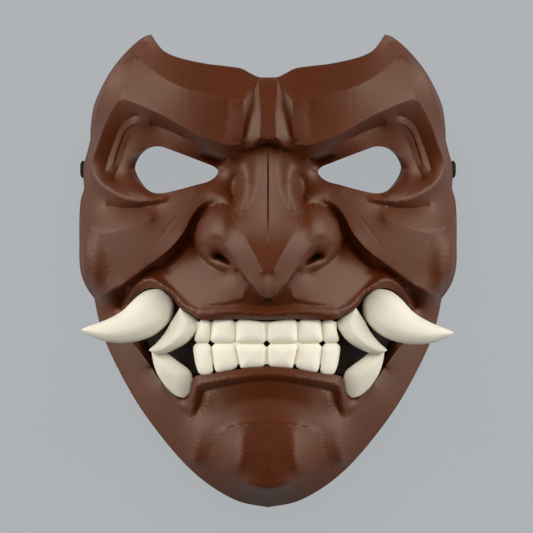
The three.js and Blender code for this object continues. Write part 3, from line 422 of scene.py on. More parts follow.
def triangulated(points, edges):
    # triangles that keep the given edges; a crossing adds a point with a height from its neighbours
    flat = [Vector((p[0], p[1])) for p in points]
    verts, _, faces, origin, _, _ = delaunay_2d_cdt(flat, edges, [], 0, 1e-4)
    heights = [np.nanmean([points[i][2] for i in found]) if len(found) else np.nan for found in origin]
    xyz = np.column_stack([np.array([v[:] for v in verts]), heights])
    place = {i: n for n, found in enumerate(origin) for i in found}
    return xyz, np.array(faces), place


def turns(points, faces):
    # twice the area of each triangle seen from the front, below zero where it faces away
    a, b, c = (points[faces[:, k], :2] for k in range(3))
    return (b[:, 0] - a[:, 0]) * (c[:, 1] - a[:, 1]) - (b[:, 1] - a[:, 1]) * (c[:, 0] - a[:, 0])


def facing(points, faces, up):
    wrong = (turns(points, faces) > 0) != up
    faces = faces.copy()
    faces[wrong] = faces[wrong][:, ::-1]
    return faces


def stretched(points, faces, lift, swell):
    # heights that are missing are drawn over the others like a skin, by conjugate gradients
    free = np.isnan(lift)
    i, j, w = [], [], []
    for a, b, c in ((0, 1, 2), (1, 2, 0), (2, 0, 1)):
        u = points[faces[:, b], :2] - points[faces[:, a], :2]
        v = points[faces[:, c], :2] - points[faces[:, a], :2]
        cross = np.abs(u[:, 0] * v[:, 1] - u[:, 1] * v[:, 0])
        i.append(faces[:, b])
        j.append(faces[:, c])
        w.append(np.clip((u * v).sum(1) / np.maximum(cross, 1e-6), *filling["weights"]))
    i, j, w = (np.concatenate(k) for k in (i, j, w))
    i, j, w = np.concatenate([i, j]), np.concatenate([j, i]), np.concatenate([w, w])
    count = len(points)
    weight = np.bincount(i, w, count)
    share = np.bincount(faces.ravel(), np.repeat(np.abs(turns(points, faces)) / 6, 3), count)
    push = 2 * swell * share

    def pull(z):
        return np.bincount(i, w * z[j], count)

    z = np.where(free, np.nanmean(lift), lift)
    r = np.where(free, pull(z) - weight * z + push, 0)
    p = r / weight
    energy = (r * p).sum()
    for _ in range(filling["rounds"]):
        q = np.where(free, weight * p - pull(p), 0)
        stride = energy / (p * q).sum()
        z = z + stride * p
        r = r - stride * q
        fresh = r / weight
        following = (r * fresh).sum()
        if following < filling["rest"]:
            break
        p = fresh + following / energy * p
        energy = following
    return z, (i, j, count)


def softened(z, links, strength, rounds):
    i, j, count = links
    weight = np.bincount(i, minlength=count)
    for _ in range(rounds):
        mean = np.bincount(i, z[j], count) / weight
        z = z + strength * (mean - z)
    return z


def crown(x, y):
    return -shell["crownRound"] * x * x - shell["crownTall"] * y * y


def fineLine(run):
    return smoothLine([(x, y, midHeight) for x, y in run], shell["step"])


def halfFront():
    # the front of one half as a sheet of triangles, with the points of its borders
    step = shell["step"]
    edge = np.vstack([smoothLine(run, step)[(1 if n else 0):] for n, run in enumerate(shell["edge"])])
    eye = smoothLine(shell["eye"], step, closed=True)
    mouth = smoothLine(shell["mouth"], step)
    for line in (edge, mouth):
        line[[0, -1], 0] = 0
    points, edges, start = [], [], {}
    count = 0

    def addLine(line):
        nonlocal count
        edges.extend((count + k, count + k + 1) for k in range(len(line) - 1))
        points.append(line)
        count += len(line)

    for name, line in (("edge", edge), ("eye", eye), ("mouth", mouth)):
        start[name] = count
        addLine(line)
        if name == "eye":
            edges.append((count - 1, start[name]))
    lines = {name: smoothLine(run, step) for name, run in creases.items()}
    for line in lines.values():
        addLine(line)
    for _, _, run in scratches.values():
        line = fineLine(run)
        line[:, 2] = np.nan
        addLine(line)
    middle = [(0, y) for y in np.arange(edge[0, 1] - step, mouth[0, 1], -step)]
    middle += [(0, y) for y in np.arange(mouth[-1, 1] - step, edge[-1, 1], -step)]
    fixed = np.vstack(points)

    def allowed(x, y):
        return insideOf(edge, x, y) & ~insideOf(eye, x, y) & ~insideOf(mouth, x, y)

    room = step * filling["middleGap"]
    extra = fillBetween(fixed, allowed, step)
    extra = extra[extra[:, 0] > room]
    onMiddle = [q for q in middle if np.min(np.hypot(fixed[:, 0] - q[0], fixed[:, 1] - q[1])) > room]
    loose = np.vstack([extra, np.array(onMiddle)])
    allPoints = np.vstack([fixed, np.column_stack([loose, np.full(len(loose), np.nan)])])
    xyz, faces, place = triangulated(allPoints, edges)
    xyz[np.abs(xyz[:, 0]) < 0.2, 0] = 0
    centre = xyz[faces].mean(axis=1)
    faces = faces[allowed(centre[:, 0], centre[:, 1]) & (np.abs(turns(xyz, faces)) > 1e-5)]
    used = np.unique(faces)
    renumber = np.full(len(xyz), -1)
    renumber[used] = np.arange(len(used))
    xyz, faces = xyz[used], facing(xyz[used], renumber[faces], True)
    sides = {(int(f[k]), int(f[k - 2])) for f in faces for k in range(3)}
    following = {a: b for a, b in sides if (b, a) not in sides}

    def border(first, last):
        # along the border of the sheet from one point to another
        run = [int(renumber[place[first]])]
        while len(run) < 2 or run[-1] != renumber[place[last]]:
            run.append(following[run[-1]])
        return run

    loops = {
        "edge": border(start["edge"] + len(edge) - 1, start["edge"])[::-1],
        "eye": border(start["eye"], start["eye"])[:-1],
        "mouth": border(start["mouth"], start["mouth"] + len(mouth) - 1),
    }
    swell = np.zeros(len(xyz))
    for pressure, run in swellings.values():
        loop = smoothLine([(x, y, midHeight) for x, y in run], step, closed=True)
        swell[insideOf(loop, xyz[:, 0], xyz[:, 1])] = pressure
    ground = crown(xyz[:, 0], xyz[:, 1])
    lift, links = stretched(xyz, faces, xyz[:, 2] - ground, swell)
    z = lift + ground
    strength = np.full(len(xyz), shell["polishAll"])
    for name, (reach, power) in softness.items():
        near = np.clip(1 - awayFrom(lines[name], xyz) / reach, 0, 1)
        strength = np.maximum(strength, power * near * near * (3 - 2 * near))
    for loop in loops.values():
        strength[loop] = 0
    z = softened(z, links, strength, shell["polish"])
    least, growth = scratchEnds
    for depth, width, run in scratches.values():
        line = fineLine(run)
        away = awayFrom(line, xyz) / width
        ends = np.minimum(*(np.hypot(xyz[:, 0] - line[k, 0], xyz[:, 1] - line[k, 1]) for k in (0, -1)))
        z = z - depth * np.exp(-away * away) * np.clip(least + ends / growth, 0, 1)
    xyz[:, 2] = z
    return xyz, faces, loops


def bothHalves(xyz, faces):
    # the other half, joined along the middle, and each point's twin in it
    twin = np.arange(len(xyz))
    off = xyz[:, 0] > 0
    twin[off] = len(xyz) + np.arange(off.sum())
    both = np.vstack([xyz, xyz[off] * (-1, 1, 1)])
    return both, np.vstack([faces, twin[faces][:, ::-1]]), twin


def newPiece(node, xyz, faces, sharp):
    # a piece takes the place of the node that it is named after
    first, *others = node.split("_")
    mesh = bpy.data.meshes.new(first + "".join(word.capitalize() for word in others))
    mesh.from_pydata([tuple(p) for p in np.asarray(xyz) * mm], [], [tuple(int(k) for k in f) for f in faces])
    mesh.validate()
    mesh.update()
    piece = bpy.data.objects.new(mesh.name, mesh)
    bpy.context.scene.collection.objects.link(piece)
    mesh.shade_smooth()
    mesh.set_sharp_from_angle(angle=math.radians(sharp))
    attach(piece, "root")
    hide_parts(node)
    return piece


def rimHeight(p):
    # how high the back of the side wall lies at a place on the edge
    short = p[2] - shell["edgeDepth"]
    hornX, hornY = shell["horn"]
    top, foot = shell["sideRimTop"], shell["sideRimFoot"]
    if p[1] > top:
        share = (p[1] - top) / (hornY - top)
        return short if abs(p[0]) < hornX * shell["hornNear"] else min(short, shell["hornRim"] * share)
    if p[1] > foot:
        return 0.0
    return min(short, shell["chinRim"] * ((foot - p[1]) / (foot - shell["chinEnd"])) ** shell["chinCurve"])


class GrowingMesh:
    # points and faces, added row by row
    def __init__(self, points, faces):
        self.points, self.faces = [points], [faces]
        self.count = len(points)

    def addRow(self, row):
        self.points.append(np.array(row))
        self.count += len(row)
        return list(range(self.count - len(row), self.count))

    def addWall(self, upper, lower, flip=False):
        u, v = np.array(upper), np.array(lower)
        u2, v2 = np.roll(u, -1), np.roll(v, -1)
        quads = np.column_stack([u, v, v2, u2] if flip else [u, u2, v2, v])
        self.faces += [quads[:, [0, 1, 2]], quads[:, [0, 2, 3]]]


def outwardFrom(ring):
    # the outward direction along a loop that runs clockwise
    p = ring[:, :2]
    along = np.roll(p, -1, axis=0) - np.roll(p, 1, axis=0)
    along /= np.linalg.norm(along, axis=1)[:, None]
    return np.column_stack([-along[:, 1], along[:, 0]])


def hollowBehind(points):
    tree = flatTree(points)

    def heightAt(x, y, reach=shell["wall"]):
        # a ball of the wall's thickness rolled along behind the front
        found = tree.find_range((x, y, 0), reach * 0.999)
        return min(points[n][2] - math.sqrt(reach * reach - d * d) for _, n, d in found)

    return heightAt


def innerEdge(ring, out):
    # where the hollow side starts, in from the edge by the wall, which is thinner at the horns
    tipX, tipY = (k * shell["hornNear"] for k in shell["horn"])
    fromHorn = np.hypot(np.abs(ring[:, 0]) - tipX, ring[:, 1] - tipY)
    thin, growth = shell["hornThin"]
    width = shell["wall"] * np.clip(thin + fromHorn / growth, thin, 1)
    inner = ring[:, :2] - out * width[:, None]
    inner[np.abs(ring[:, 0]) < 1e-6, 0] = 0
    reach = shell["hornTurn"]
    for side in (1, -1):
        # behind each horn it turns a corner of its own
        tip = int(np.argmin(fromHorn + 1e3 * (ring[:, 0] * side < 0)))
        corner = ring[tip, :2] - out[tip] * shell["hornWall"]
        for k in range(tip - reach, tip + reach + 1):
            end = inner[tip - reach if k < tip else tip + reach]
            inner[k] = corner + (end - corner) * abs(k - tip) / reach
    return inner


def addTurnedEdge(mesh, ring, loop, heightAt):
    # the turned edge: rounded over, down the side wall, and round the rim to the hollow side
    out = outwardFrom(ring)
    rim = np.array([rimHeight(p) for p in ring])
    inner = innerEdge(ring, out)
    rows = []
    for drop, bulge in shell["edgeRound"]:
        rows.append(np.column_stack([ring[:, :2] + out * bulge, ring[:, 2] - drop]))
    lift = shell["rimRound"][0][1]
    for share in shell["edgeRows"]:
        z = (ring[:, 2] - drop) * (1 - share) + (rim + lift) * share
        rows.append(np.column_stack([ring[:, :2] + out * bulge, z]))
    for share, lift, spread in shell["rimRound"]:
        place = ring[:, :2] + (inner - ring[:, :2]) * share + out * spread
        rows.append(np.column_stack([place, rim + lift]))
    rows.append(np.column_stack([inner, rim + shell["rimInside"]]))
    thick, rise = shell["backEdge"]
    top = [max(heightAt(x, y, shell["wall"] * thick), r + rise) for (x, y), r in zip(inner, rim)]
    rows.append(np.column_stack([inner, top]))
    previous = loop
    for row in rows:
        fresh = mesh.addRow(row)
        mesh.addWall(previous, fresh)
        previous = fresh
    return previous


def addHoleWall(mesh, ring, loop, name, heightAt):
    # a small rounding, then the wall, which leans where the hole does
    low, high, shift = shell["mouthLean" if name == "mouth" else "eyeLean"]
    share = np.clip((np.abs(ring[:, 0]) - low) / (high - low), 0, 1)
    lean = np.sign(ring[:, 0]) * shift * share * share * (3 - 2 * share)
    if name == "mouth":
        lean = np.where(ring[:, 1] < shell["mouthLeanTop"], lean, 0)
    backZ = np.array([heightAt(x, y) for x, y in zip(ring[:, 0] + lean, ring[:, 1])])
    backZ = np.minimum(backZ, ring[:, 2] - shell["holeWall"])
    previous = loop
    for part in shell["holeRows"]:
        z = ring[:, 2] * (1 - part) + backZ * part
        row = mesh.addRow(np.column_stack([ring[:, 0] + lean * part, ring[:, 1], z]))
        mesh.addWall(previous, row, name != "eyeLeft")
        previous = row
    return previous


def addHollowSide(mesh, back, heightAt):
    # half of the hollow side is filled, and the rest is its mirror image
    soFar = np.vstack(mesh.points)
    chosen, links, keep = [], [], {}
    for name in ("edge", "eyeRight", "mouth"):
        loop = [k for k in back[name] if soFar[k, 0] > -1e-6]
        keep[name] = soFar[loop]
        first = len(chosen)
        chosen += loop
        links += [(k, k + 1) for k in range(first, len(chosen) - 1)]
        if name == "eyeRight":
            links.append((len(chosen) - 1, first))

    def within(x, y):
        holes = insideOf(keep["eyeRight"], x, y) | insideOf(keep["mouth"], x, y)
        return insideOf(keep["edge"], x, y) & ~holes

    base = soFar[chosen]
    extra = fillBetween(base, within, shell["backStep"], 0.5)
    extra = np.column_stack([extra, [heightAt(x, y) for x, y in extra]])
    xyz, tris, place = triangulated(np.vstack([base, extra]), links)
    centre = xyz[tris].mean(axis=1)
    tris = tris[within(centre[:, 0], centre[:, 1])]
    number = {place[k]: chosen[k] for k in range(len(chosen))}
    mirrorOf = {}
    for name in ("edge", "mouth"):
        size = len(back[name])
        mirrorOf.update((k, back[name][(size - n) % size]) for n, k in enumerate(back[name]))
    mirrorOf.update(zip(back["eyeRight"], back["eyeLeft"]))
    fresh = [n for n in range(len(xyz)) if n not in number]
    own = mesh.addRow(xyz[fresh])
    number.update(zip(fresh, own))
    twins = mesh.addRow(xyz[fresh] * (-1, 1, 1))
    for n, a, b in zip(fresh, own, twins):
        mirrorOf[a] = a if xyz[n, 0] == 0 else b
    right = np.array([[number[int(k)] for k in tri] for tri in tris])
    left = np.array([[mirrorOf[int(k)] for k in tri] for tri in right])
    mesh.faces.append(facing(np.vstack(mesh.points), np.vstack([right, left]), False))


def makeShell():
    xyz, faces, half = halfFront()
    print("front of the face:", len(xyz) * 2, "points")
    points, faces, twin = bothHalves(xyz, faces)
    mesh = GrowingMesh(points, facing(points, faces, True))
    heightAt = hollowBehind(points)

    def bothWays(loop):
        return loop + [int(twin[k]) for k in loop[1:-1][::-1]]

    loops = {
        "eyeRight": half["eye"],
        "eyeLeft": [int(twin[k]) for k in half["eye"]],
        "mouth": bothWays(half["mouth"]),
    }
    edge = bothWays(half["edge"])
    back = {"edge": addTurnedEdge(mesh, points[edge], edge, heightAt)}
    for name, loop in loops.items():
        back[name] = addHoleWall(mesh, points[loop], loop, name, heightAt)
    addHollowSide(mesh, back, heightAt)
    xyz, faces = np.vstack(mesh.points), np.vstack(mesh.faces)
    piece = newPiece("mask_shell", xyz, faces, shell["sharp"])
    bm = bmesh.new()
    bm.from_mesh(piece.data)
    bmesh.ops.delete(bm, geom=[v for v in bm.verts if not v.link_faces], context="VERTS")
    bad = sum(1 for e in bm.edges if len(e.link_faces) != 2)
    bm.to_mesh(piece.data)
    bm.free()
    print("shell:", len(piece.data.polygons), "faces,", bad, "open edges")
    return piece


# The teeth of one side, each drawn by its outline; every one is a pillow that stands on a low bar
teeth = {
    "centreX": -0.65,         # the rows sit this far to one side
    "crown": 84.2,            # how far forward their middle stands
    "bend": 0.0075,           # and how the rows curve back from it
    "drawnAt": 80,            # how far forward the outlines are taken to lie
    "swell": 2.5,             # the rounding of a tooth
    "inset": (1.7, 0.97),     # how its rings draw in: the curve, and how far in all
    "round": (2.6, 0.55),     # and how they rise
    "depth": 7.0,
    "sink": 0.3,              # how much deeper the bar goes
    "groove": 2.85,           # how deep the lines between the teeth are
    "diamonds": (0, 27.8),    # the places along the bite where dark shows between them
    "notch": 1.5,             # how far the bar draws back there
    "notchHalf": (0.5, 1.3),  # half the notch's flat, and its slope
    "rings": 14,
    "step": 0.4,
    "barStations": 281,
    "sharp": 40,
    "upper_teeth": {
        "bar": (-25.3, -36.28, 35),   # at the gum, at the bite, and out to the side
        "outlines": [
            [(15.1, -26), (14.35, -24.6), (13.35, -24.1), (10.35, -24), (6.85, -24.5), (3.85, -25),
             (1.35, -25.6), (0.6, -26.6), (0.3, -29.5), (0.4, -34.4), (1.6, -35.75), (8, -35.95),
             (14.3, -35.75), (15.5, -34.8), (15.55, -31)],
            [(16.1, -27.5), (16.5, -25), (17.85, -23.8), (19.85, -23.3), (22.85, -23.2), (25.35, -23.6),
             (26.6, -24.6), (27.25, -26.4), (27.7, -29.5), (28.1, -34.4), (27, -35.6), (22, -35.85),
             (17, -35.7), (15.9, -34.8), (15.8, -31)],
            [(28.1, -27.5), (28.2, -25), (29.35, -24.2), (31.5, -24.1), (33.2, -24.7), (34.2, -27.2),
             (35.5, -31), (36.2, -34.6), (35.3, -35.6), (32, -35.8), (29.2, -35.5), (28.45, -34.4),
             (28.2, -31)],
        ],
    },
    "lower_teeth": {
        "bar": (-46.5, -36.28, 35.6),
        "outlines": [
            [(15.4, -38), (14.5, -36.8), (8, -36.6), (1.8, -36.9), (0.45, -38.2), (0.4, -42), (0.75, -46),
             (1.85, -47.6), (8.35, -48.3), (12.6, -48.5), (13.4, -47.3), (14.2, -44), (15.1, -40.5)],
            [(27.5, -38), (25.8, -36.5), (21.5, -36.3), (17.2, -36.6), (15.9, -38), (15.5, -41),
             (14.6, -45.2), (14.7, -47.5), (16, -48.9), (20.8, -50.1), (24.8, -50.6), (26, -49.2),
             (26.9, -43.5)],
            [(36.7, -37.8), (35.4, -36.5), (32, -36.3), (29.2, -36.5), (28.1, -37.8), (27.6, -42),
             (27, -47.5), (27, -50.4), (28.2, -51.6), (31.2, -52.1), (33.6, -51.4), (35.3, -48),
             (36.3, -43.5)],
        ],
    },
}


def closedTube(rings, first=0):
    # the faces of a stack of rings of one length, closed at both ends
    size = len(rings[0])
    faces = [(first + r * size + k, first + r * size + (k + 1) % size,
              first + (r + 1) * size + (k + 1) % size, first + (r + 1) * size + k)
             for r in range(len(rings) - 1) for k in range(size)]
    faces.append(tuple(first + k for k in range(size))[::-1])
    faces.append(tuple(first + (len(rings) - 1) * size + k for k in range(size)))
    return faces


def makeRow(name):
    points, faces = [], []
    inset, inAll = teeth["inset"]
    bow, lift = teeth["round"]

    def front(x):
        return teeth["crown"] - teeth["bend"] * x * x

    def addBody(rings):
        faces.extend(closedTube(rings, len(points)))
        for ring in rings:
            points.extend(ring)

    for side in (1, -1):
        for outline in teeth[name]["outlines"]:
            drawn = [(x, y, teeth["drawnAt"]) for x, y in outline]
            loop = smoothLine(drawn, teeth["step"], closed=True)[:, :2]
            area = np.sum(loop[:, 0] * np.roll(loop[:, 1], -1) - np.roll(loop[:, 0], -1) * loop[:, 1])
            if area < 0:
                loop = loop[::-1]
            if side < 0:
                loop = loop[::-1] * (-1, 1)
            middle = (loop.max(axis=0) + loop.min(axis=0)) / 2
            rings = [np.column_stack([loop, front(loop[:, 0]) - teeth["depth"]])]
            for n in range(teeth["rings"] + 1):
                inward = (n / teeth["rings"]) ** inset * inAll
                rise = (1 - (1 - inward) ** bow) ** lift
                ring = middle + (loop - middle) * (1 - inward)
                rings.append(np.column_stack([ring, front(ring[:, 0]) - teeth["swell"] * (1 - rise)]))
            addBody(rings)
    gum, bite, reach = teeth[name]["bar"]
    flat, slope = teeth["notchHalf"]
    rings = []
    for x in np.linspace(-reach, reach, teeth["barStations"]):
        near, low = front(x) - teeth["groove"], front(x) - teeth["depth"] - teeth["sink"]
        away = min(abs(abs(x) - d) for d in teeth["diamonds"])
        notch = np.clip(1 - (away - flat) / slope, 0, 1)
        edge = bite + math.copysign(teeth["notch"] * notch, gum - bite)
        bottom, top = min(gum, edge), max(gum, edge)
        rings.append(seen([(x, bottom, low), (x, top, low), (x, top, near), (x, bottom, near)]))
    addBody(rings)
    xyz = np.array([tuple(p) for p in points]) + (teeth["centreX"], 0, 0)
    print(name, len(faces), "faces")
    return newPiece(name, xyz, faces, teeth["sharp"])


# The fangs: across each station the tooth spans from one side of its outline to the other,
# with the height of its middle and its thickness
fangs = {
    "upper_fang": {
        "sides": [
            ((43.9, -18), (43.6, -18.1), 70.5, 1.2), ((45.4, -20.4), (41.2, -19.8), 71.5, 2.6),
            ((47, -23), (37.3, -22.4), 73.2, 4.4), ((48.6, -25.4), (34.7, -24.9), 74.8, 5.6),
            ((49.7, -27.6), (34.9, -28.1), 76, 6), ((51.1, -30.1), (36.3, -30.8), 76.8, 6),
            ((53, -32.7), (38.6, -33.9), 77, 5.6), ((55, -35), (42.1, -36.8), 76.6, 4.9),
            ((56.5, -36.6), (46.5, -39.2), 75.8, 3.9), ((58, -37.9), (51, -41), 74.6, 2.6),
            ((59, -38.8), (55.2, -41.3), 73.2, 1.5), ((59.6, -39.6), (59.2, -40), 71.8, 0.3)],
        "crest": -0.08,       # where its ridge runs, from 1 at one side to -1 at the other
    },
    "lower_fang": {
        "sides": [
            ((42.8, -63.3), (41.6, -63.3), 65, 0.8), ((45.5, -62.6), (39.2, -61.2), 66, 2.6),
            ((48.5, -60.5), (37.9, -57.6), 67.6, 4.4), ((51, -58), (37.6, -53.6), 69, 5.4),
            ((53.2, -55), (38.7, -50.2), 70, 5.8), ((55, -52.2), (42, -47.2), 70.4, 5.6),
            ((56.2, -49.5), (45.7, -44.6), 70.2, 5), ((57.1, -46.8), (49, -42), 69.6, 4.1),
            ((57.7, -44.2), (52, -40), 68.8, 3), ((58.1, -41.6), (55, -38.8), 68, 1.7),
            ((58.4, -39.6), (57.8, -39.3), 67.4, 0.3)],
        "crest": 0.25,
    },
    "along": 72,
    "around": 56,
    "keen": 0.42,             # how far the front is drawn to a crest
    "crestCurve": 0.85,
    "flat": 0.6,              # the back is flatter than the front
    "thinnest": 0.15,
    "sharp": 75,
}

# The tusks: the middle of each station and its radius
tusk = {
    "centres": [
        (56.4, -18.5, 51, 9.2), (56.5, -18.6, 57, 9.6), (57.5, -19.4, 63, 9.9), (59.4, -21.1, 67.6, 10.1),
        (62.4, -23.6, 70.8, 9.9), (65.8, -25.8, 73, 9.2), (69, -27.3, 74.6, 8.4), (72.8, -28.6, 76.2, 7.5),
        (76.6, -29.4, 77.8, 6.5), (80.3, -29.9, 79.2, 5.5), (83.9, -30, 80.4, 4.4), (87.1, -29.8, 81.4, 3.2),
        (90, -29.6, 82.3, 2), (92.2, -29.4, 83, 0.9), (93.2, -29.4, 83.3, 0.15)],
    "along": 120,
    "around": 72,
    "thinnest": 0.12,
    "ridges": 7,              # faint lengthwise flats
    "ridgeDepth": 0.022,      # as a share of the radius
    "firstRidge": (0.55, 0.8, 0.2),  # the direction from which they are counted
    "droop": math.radians(2.5),      # the right tusk hangs by this about its root
    "sharp": 75,
}


def throughRows(table, count):
    # the columns of a table, run smoothly through its rows
    table = np.array(table, dtype=float)
    padded = np.vstack([2 * table[0] - table[1], table, 2 * table[-1] - table[-2]])
    where = np.linspace(0, len(table) - 1, count)
    low = np.minimum(where.astype(int), len(table) - 2)
    t = (where - low)[:, None]
    a, b, c, d = (padded[low + k] for k in range(4))
    bent, twisted = 2 * a - 5 * b + 4 * c - d, 3 * b - a - 3 * c + d
    return 0.5 * (2 * b + (c - a) * t + bent * t ** 2 + twisted * t ** 3)


def makeHorn(name, side, xyz, faces, sharp):
    piece = newPiece(name + ("_right" if side > 0 else "_left"), xyz, faces, sharp)
    bm = bmesh.new()
    bm.from_mesh(piece.data)
    bmesh.ops.recalc_face_normals(bm, faces=bm.faces)
    bm.to_mesh(piece.data)
    bm.free()
    return piece


def makeFang(kind, side):
    stations = throughRows([(*a, *b, z, thick) for a, b, z, thick in fangs[kind]["sides"]], fangs["along"])
    turn = np.linspace(0, 2 * math.pi, fangs["around"], endpoint=False)
    across, ahead = np.cos(turn), np.sin(turn)
    crest, keen = fangs[kind]["crest"], fangs["keen"]
    oval = np.sqrt(np.maximum(1 - across * across, 0))
    slope = np.where(across > crest, (1 - across) / (1 - crest), (1 + across) / (1 + crest))
    front = (1 - keen) * oval + keen * slope ** fangs["crestCurve"]
    share = (1 - across) / 2
    rings = []
    for ax, ay, bx, by, z, thick in stations:
        thick = max(thick, fangs["thinnest"])
        height = np.where(ahead >= 0, front * thick, -fangs["flat"] * oval * thick)
        ring = np.column_stack([ax + (bx - ax) * share, ay + (by - ay) * share, z - thick + height])
        rings.append(seen(ring) * (side, 1, 1))
    faces = closedTube(rings)
    if side < 0:
        faces = [f[::-1] for f in faces]
    return makeHorn(kind, side, np.vstack(rings), faces, fangs["sharp"])


def makeTusk(side):
    table = throughRows(tusk["centres"], tusk["along"])
    centres, radii = seen(table[:, :3]), np.maximum(table[:, 3], tusk["thinnest"])
    ahead = np.gradient(centres, axis=0)
    ahead /= np.linalg.norm(ahead, axis=1)[:, None]
    turn = np.linspace(0, 2 * math.pi, tusk["around"], endpoint=False)
    ridged = 1 - tusk["ridgeDepth"] * (0.5 - 0.5 * np.cos(tusk["ridges"] * turn))
    rings = []
    for centre, forward, radius in zip(centres, ahead, radii):
        level = np.cross(forward, tusk["firstRidge"])
        level /= np.linalg.norm(level)
        out = np.cross(level, forward)
        spokes = out * np.cos(turn)[:, None] + level * np.sin(turn)[:, None]
        rings.append(centre + spokes * (radius * ridged)[:, None])
    xyz = np.vstack(rings) * (side, 1, 1)
    if side > 0:
        c, s = math.cos(-tusk["droop"]), math.sin(-tusk["droop"])
        off = xyz - centres[0]
        turned = (off[:, 0] * c - off[:, 1] * s, off[:, 0] * s + off[:, 1] * c, off[:, 2])
        xyz = centres[0] + np.column_stack(turned)
    return makeHorn("tusk", side, xyz, closedTube(rings), tusk["sharp"])


def colour(code):
    parts = [int(code[k:k + 2], 16) / 255 for k in (1, 3, 5)]
    linear = [c / 12.92 if c <= 0.04045 else ((c + 0.055) / 1.055) ** 2.4 for c in parts]
    return (*linear, 1.0)


def perMetre(size):
    # the scale of a pattern whose marks measure so many millimetres
    return 1 / (size * mm)


def addNode(tree, kind, settings=None, **inputs):
    # a node with its settings; an input, by its name or as i and its number, takes a value or an output
    node = tree.nodes.new(kind)
    for name, value in (settings or {}).items():
        setattr(node, name, value)
    for name, value in inputs.items():
        numbered = name[0] == "i" and name[1:].isdigit()
        socket = node.inputs[int(name[1:]) if numbered else name]
        if isinstance(value, bpy.types.NodeSocket):
            tree.links.new(value, socket)
        else:
            socket.default_value = value
    return node


def newMaterial(name):
    material = bpy.data.materials.new(name)
    material.use_nodes = True
    tree = material.node_tree
    tree.nodes.clear()
    out = addNode(tree, "ShaderNodeOutputMaterial")
    shader = addNode(tree, "ShaderNodeBsdfPrincipled")
    tree.links.new(shader.outputs[0], out.inputs["Surface"])
    return material, tree, shader


def addTones(tree, shader, tones, share):
    # two tones of one colour, mixed by a pattern
    dark, light = (colour(code) for code in tones)
    mix = addNode(tree, "ShaderNodeMix", {"data_type": "RGBA"}, Factor=share, i6=dark, i7=light)
    tree.links.new(mix.outputs[2], shader.inputs["Base Color"])


# Satin brown resin, cast and then rubbed by hand: a soft warm sheen, a fine speckle of grain and the
# faint level lines of its mould. The real grain and lines are near 0.1 mm, too fine to show, so they
# are drawn coarser.
satin = {
    "tones": ("#481c06", "#5e290d"),
    "patch": 26.3,            # mm across the slow changes of tone
    "grain": 0.909,           # mm across a speckle
    "grainTone": 0.9,         # how much of the tone goes by the grain
    "roughness": 0.4,
    "grainRoughness": 0.16,   # and how much rougher its light specks are
    "specular": 0.6,
    "sheen": "#fff1d9",       # the dust of rubbing warms the sheen
    "grainBump": (0.22, 0.3),     # strength, and height in mm
    "lineBump": (0.05, 0.2),
    "lineSpacing": 1.122,     # mm from one level line to the next
    "lineWander": 3,
}


def satinResin():
    material, tree, shader = newMaterial("satinResin")
    place = addNode(tree, "ShaderNodeTexCoord").outputs["Object"]
    patch = addNode(tree, "ShaderNodeTexNoise", Vector=place, Scale=perMetre(satin["patch"]), Detail=4,
                    Roughness=0.6)
    speckle = addNode(tree, "ShaderNodeTexNoise", Vector=place, Scale=perMetre(satin["grain"]), Detail=2)
    grain = speckle.outputs["Fac"]
    share = addNode(tree, "ShaderNodeMath", {"operation": "MULTIPLY_ADD"}, i0=grain, i1=satin["grainTone"],
                    i2=-satin["grainTone"] / 2)
    both = addNode(tree, "ShaderNodeMath", {"operation": "ADD", "use_clamp": True}, i0=patch.outputs["Fac"],
                   i1=share.outputs[0])
    addTones(tree, shader, satin["tones"], both.outputs[0])
    rough = addNode(tree, "ShaderNodeMath", {"operation": "MULTIPLY_ADD"}, i0=grain,
                    i1=satin["grainRoughness"], i2=satin["roughness"])
    tree.links.new(rough.outputs[0], shader.inputs["Roughness"])
    shader.inputs["Specular IOR Level"].default_value = satin["specular"]
    shader.inputs["Specular Tint"].default_value = colour(satin["sheen"])
    strength, height = satin["grainBump"]
    specks = addNode(tree, "ShaderNodeBump", Height=grain, Strength=strength, Distance=height * mm)
    # at a scale of 1 the bands repeat every tau / 20 metres
    spacing = math.tau / 20 * perMetre(satin["lineSpacing"])
    level = addNode(tree, "ShaderNodeTexWave", {"bands_direction": "Y"}, Vector=place, Scale=spacing,
                    Distortion=satin["lineWander"], Detail=2)
    strength, height = satin["lineBump"]
    lines = addNode(tree, "ShaderNodeBump", Height=level.outputs["Fac"], Strength=strength,
                    Distance=height * mm, Normal=specks.outputs[0])
    tree.links.new(lines.outputs[0], shader.inputs["Normal"])
    return material


# Cream resin, polished smooth as worn ivory: warm, a little yellower in patches, with a low sheen.
# Its grain is drawn coarser than the real one, to show at all.
cream = {
    "tones": ("#f4ead2", "#fbf5e3"),
    "patch": 16.7,
    "roughness": 0.42,
    "specular": 0.5,
    "grain": 1.43,
    "grainBump": (0.08, 0.2),
}

# Black moulding, dull and slightly pitted, with a breath of the brown on it: it stays dark behind the teeth
black = {
    "tones": ("#130d0a", "#251610"),
    "patch": 9.1,
    "roughness": 0.8,
    "specular": 0.25,
    "grain": 1.11,
    "grainBump": (0.3, 0.3),
}


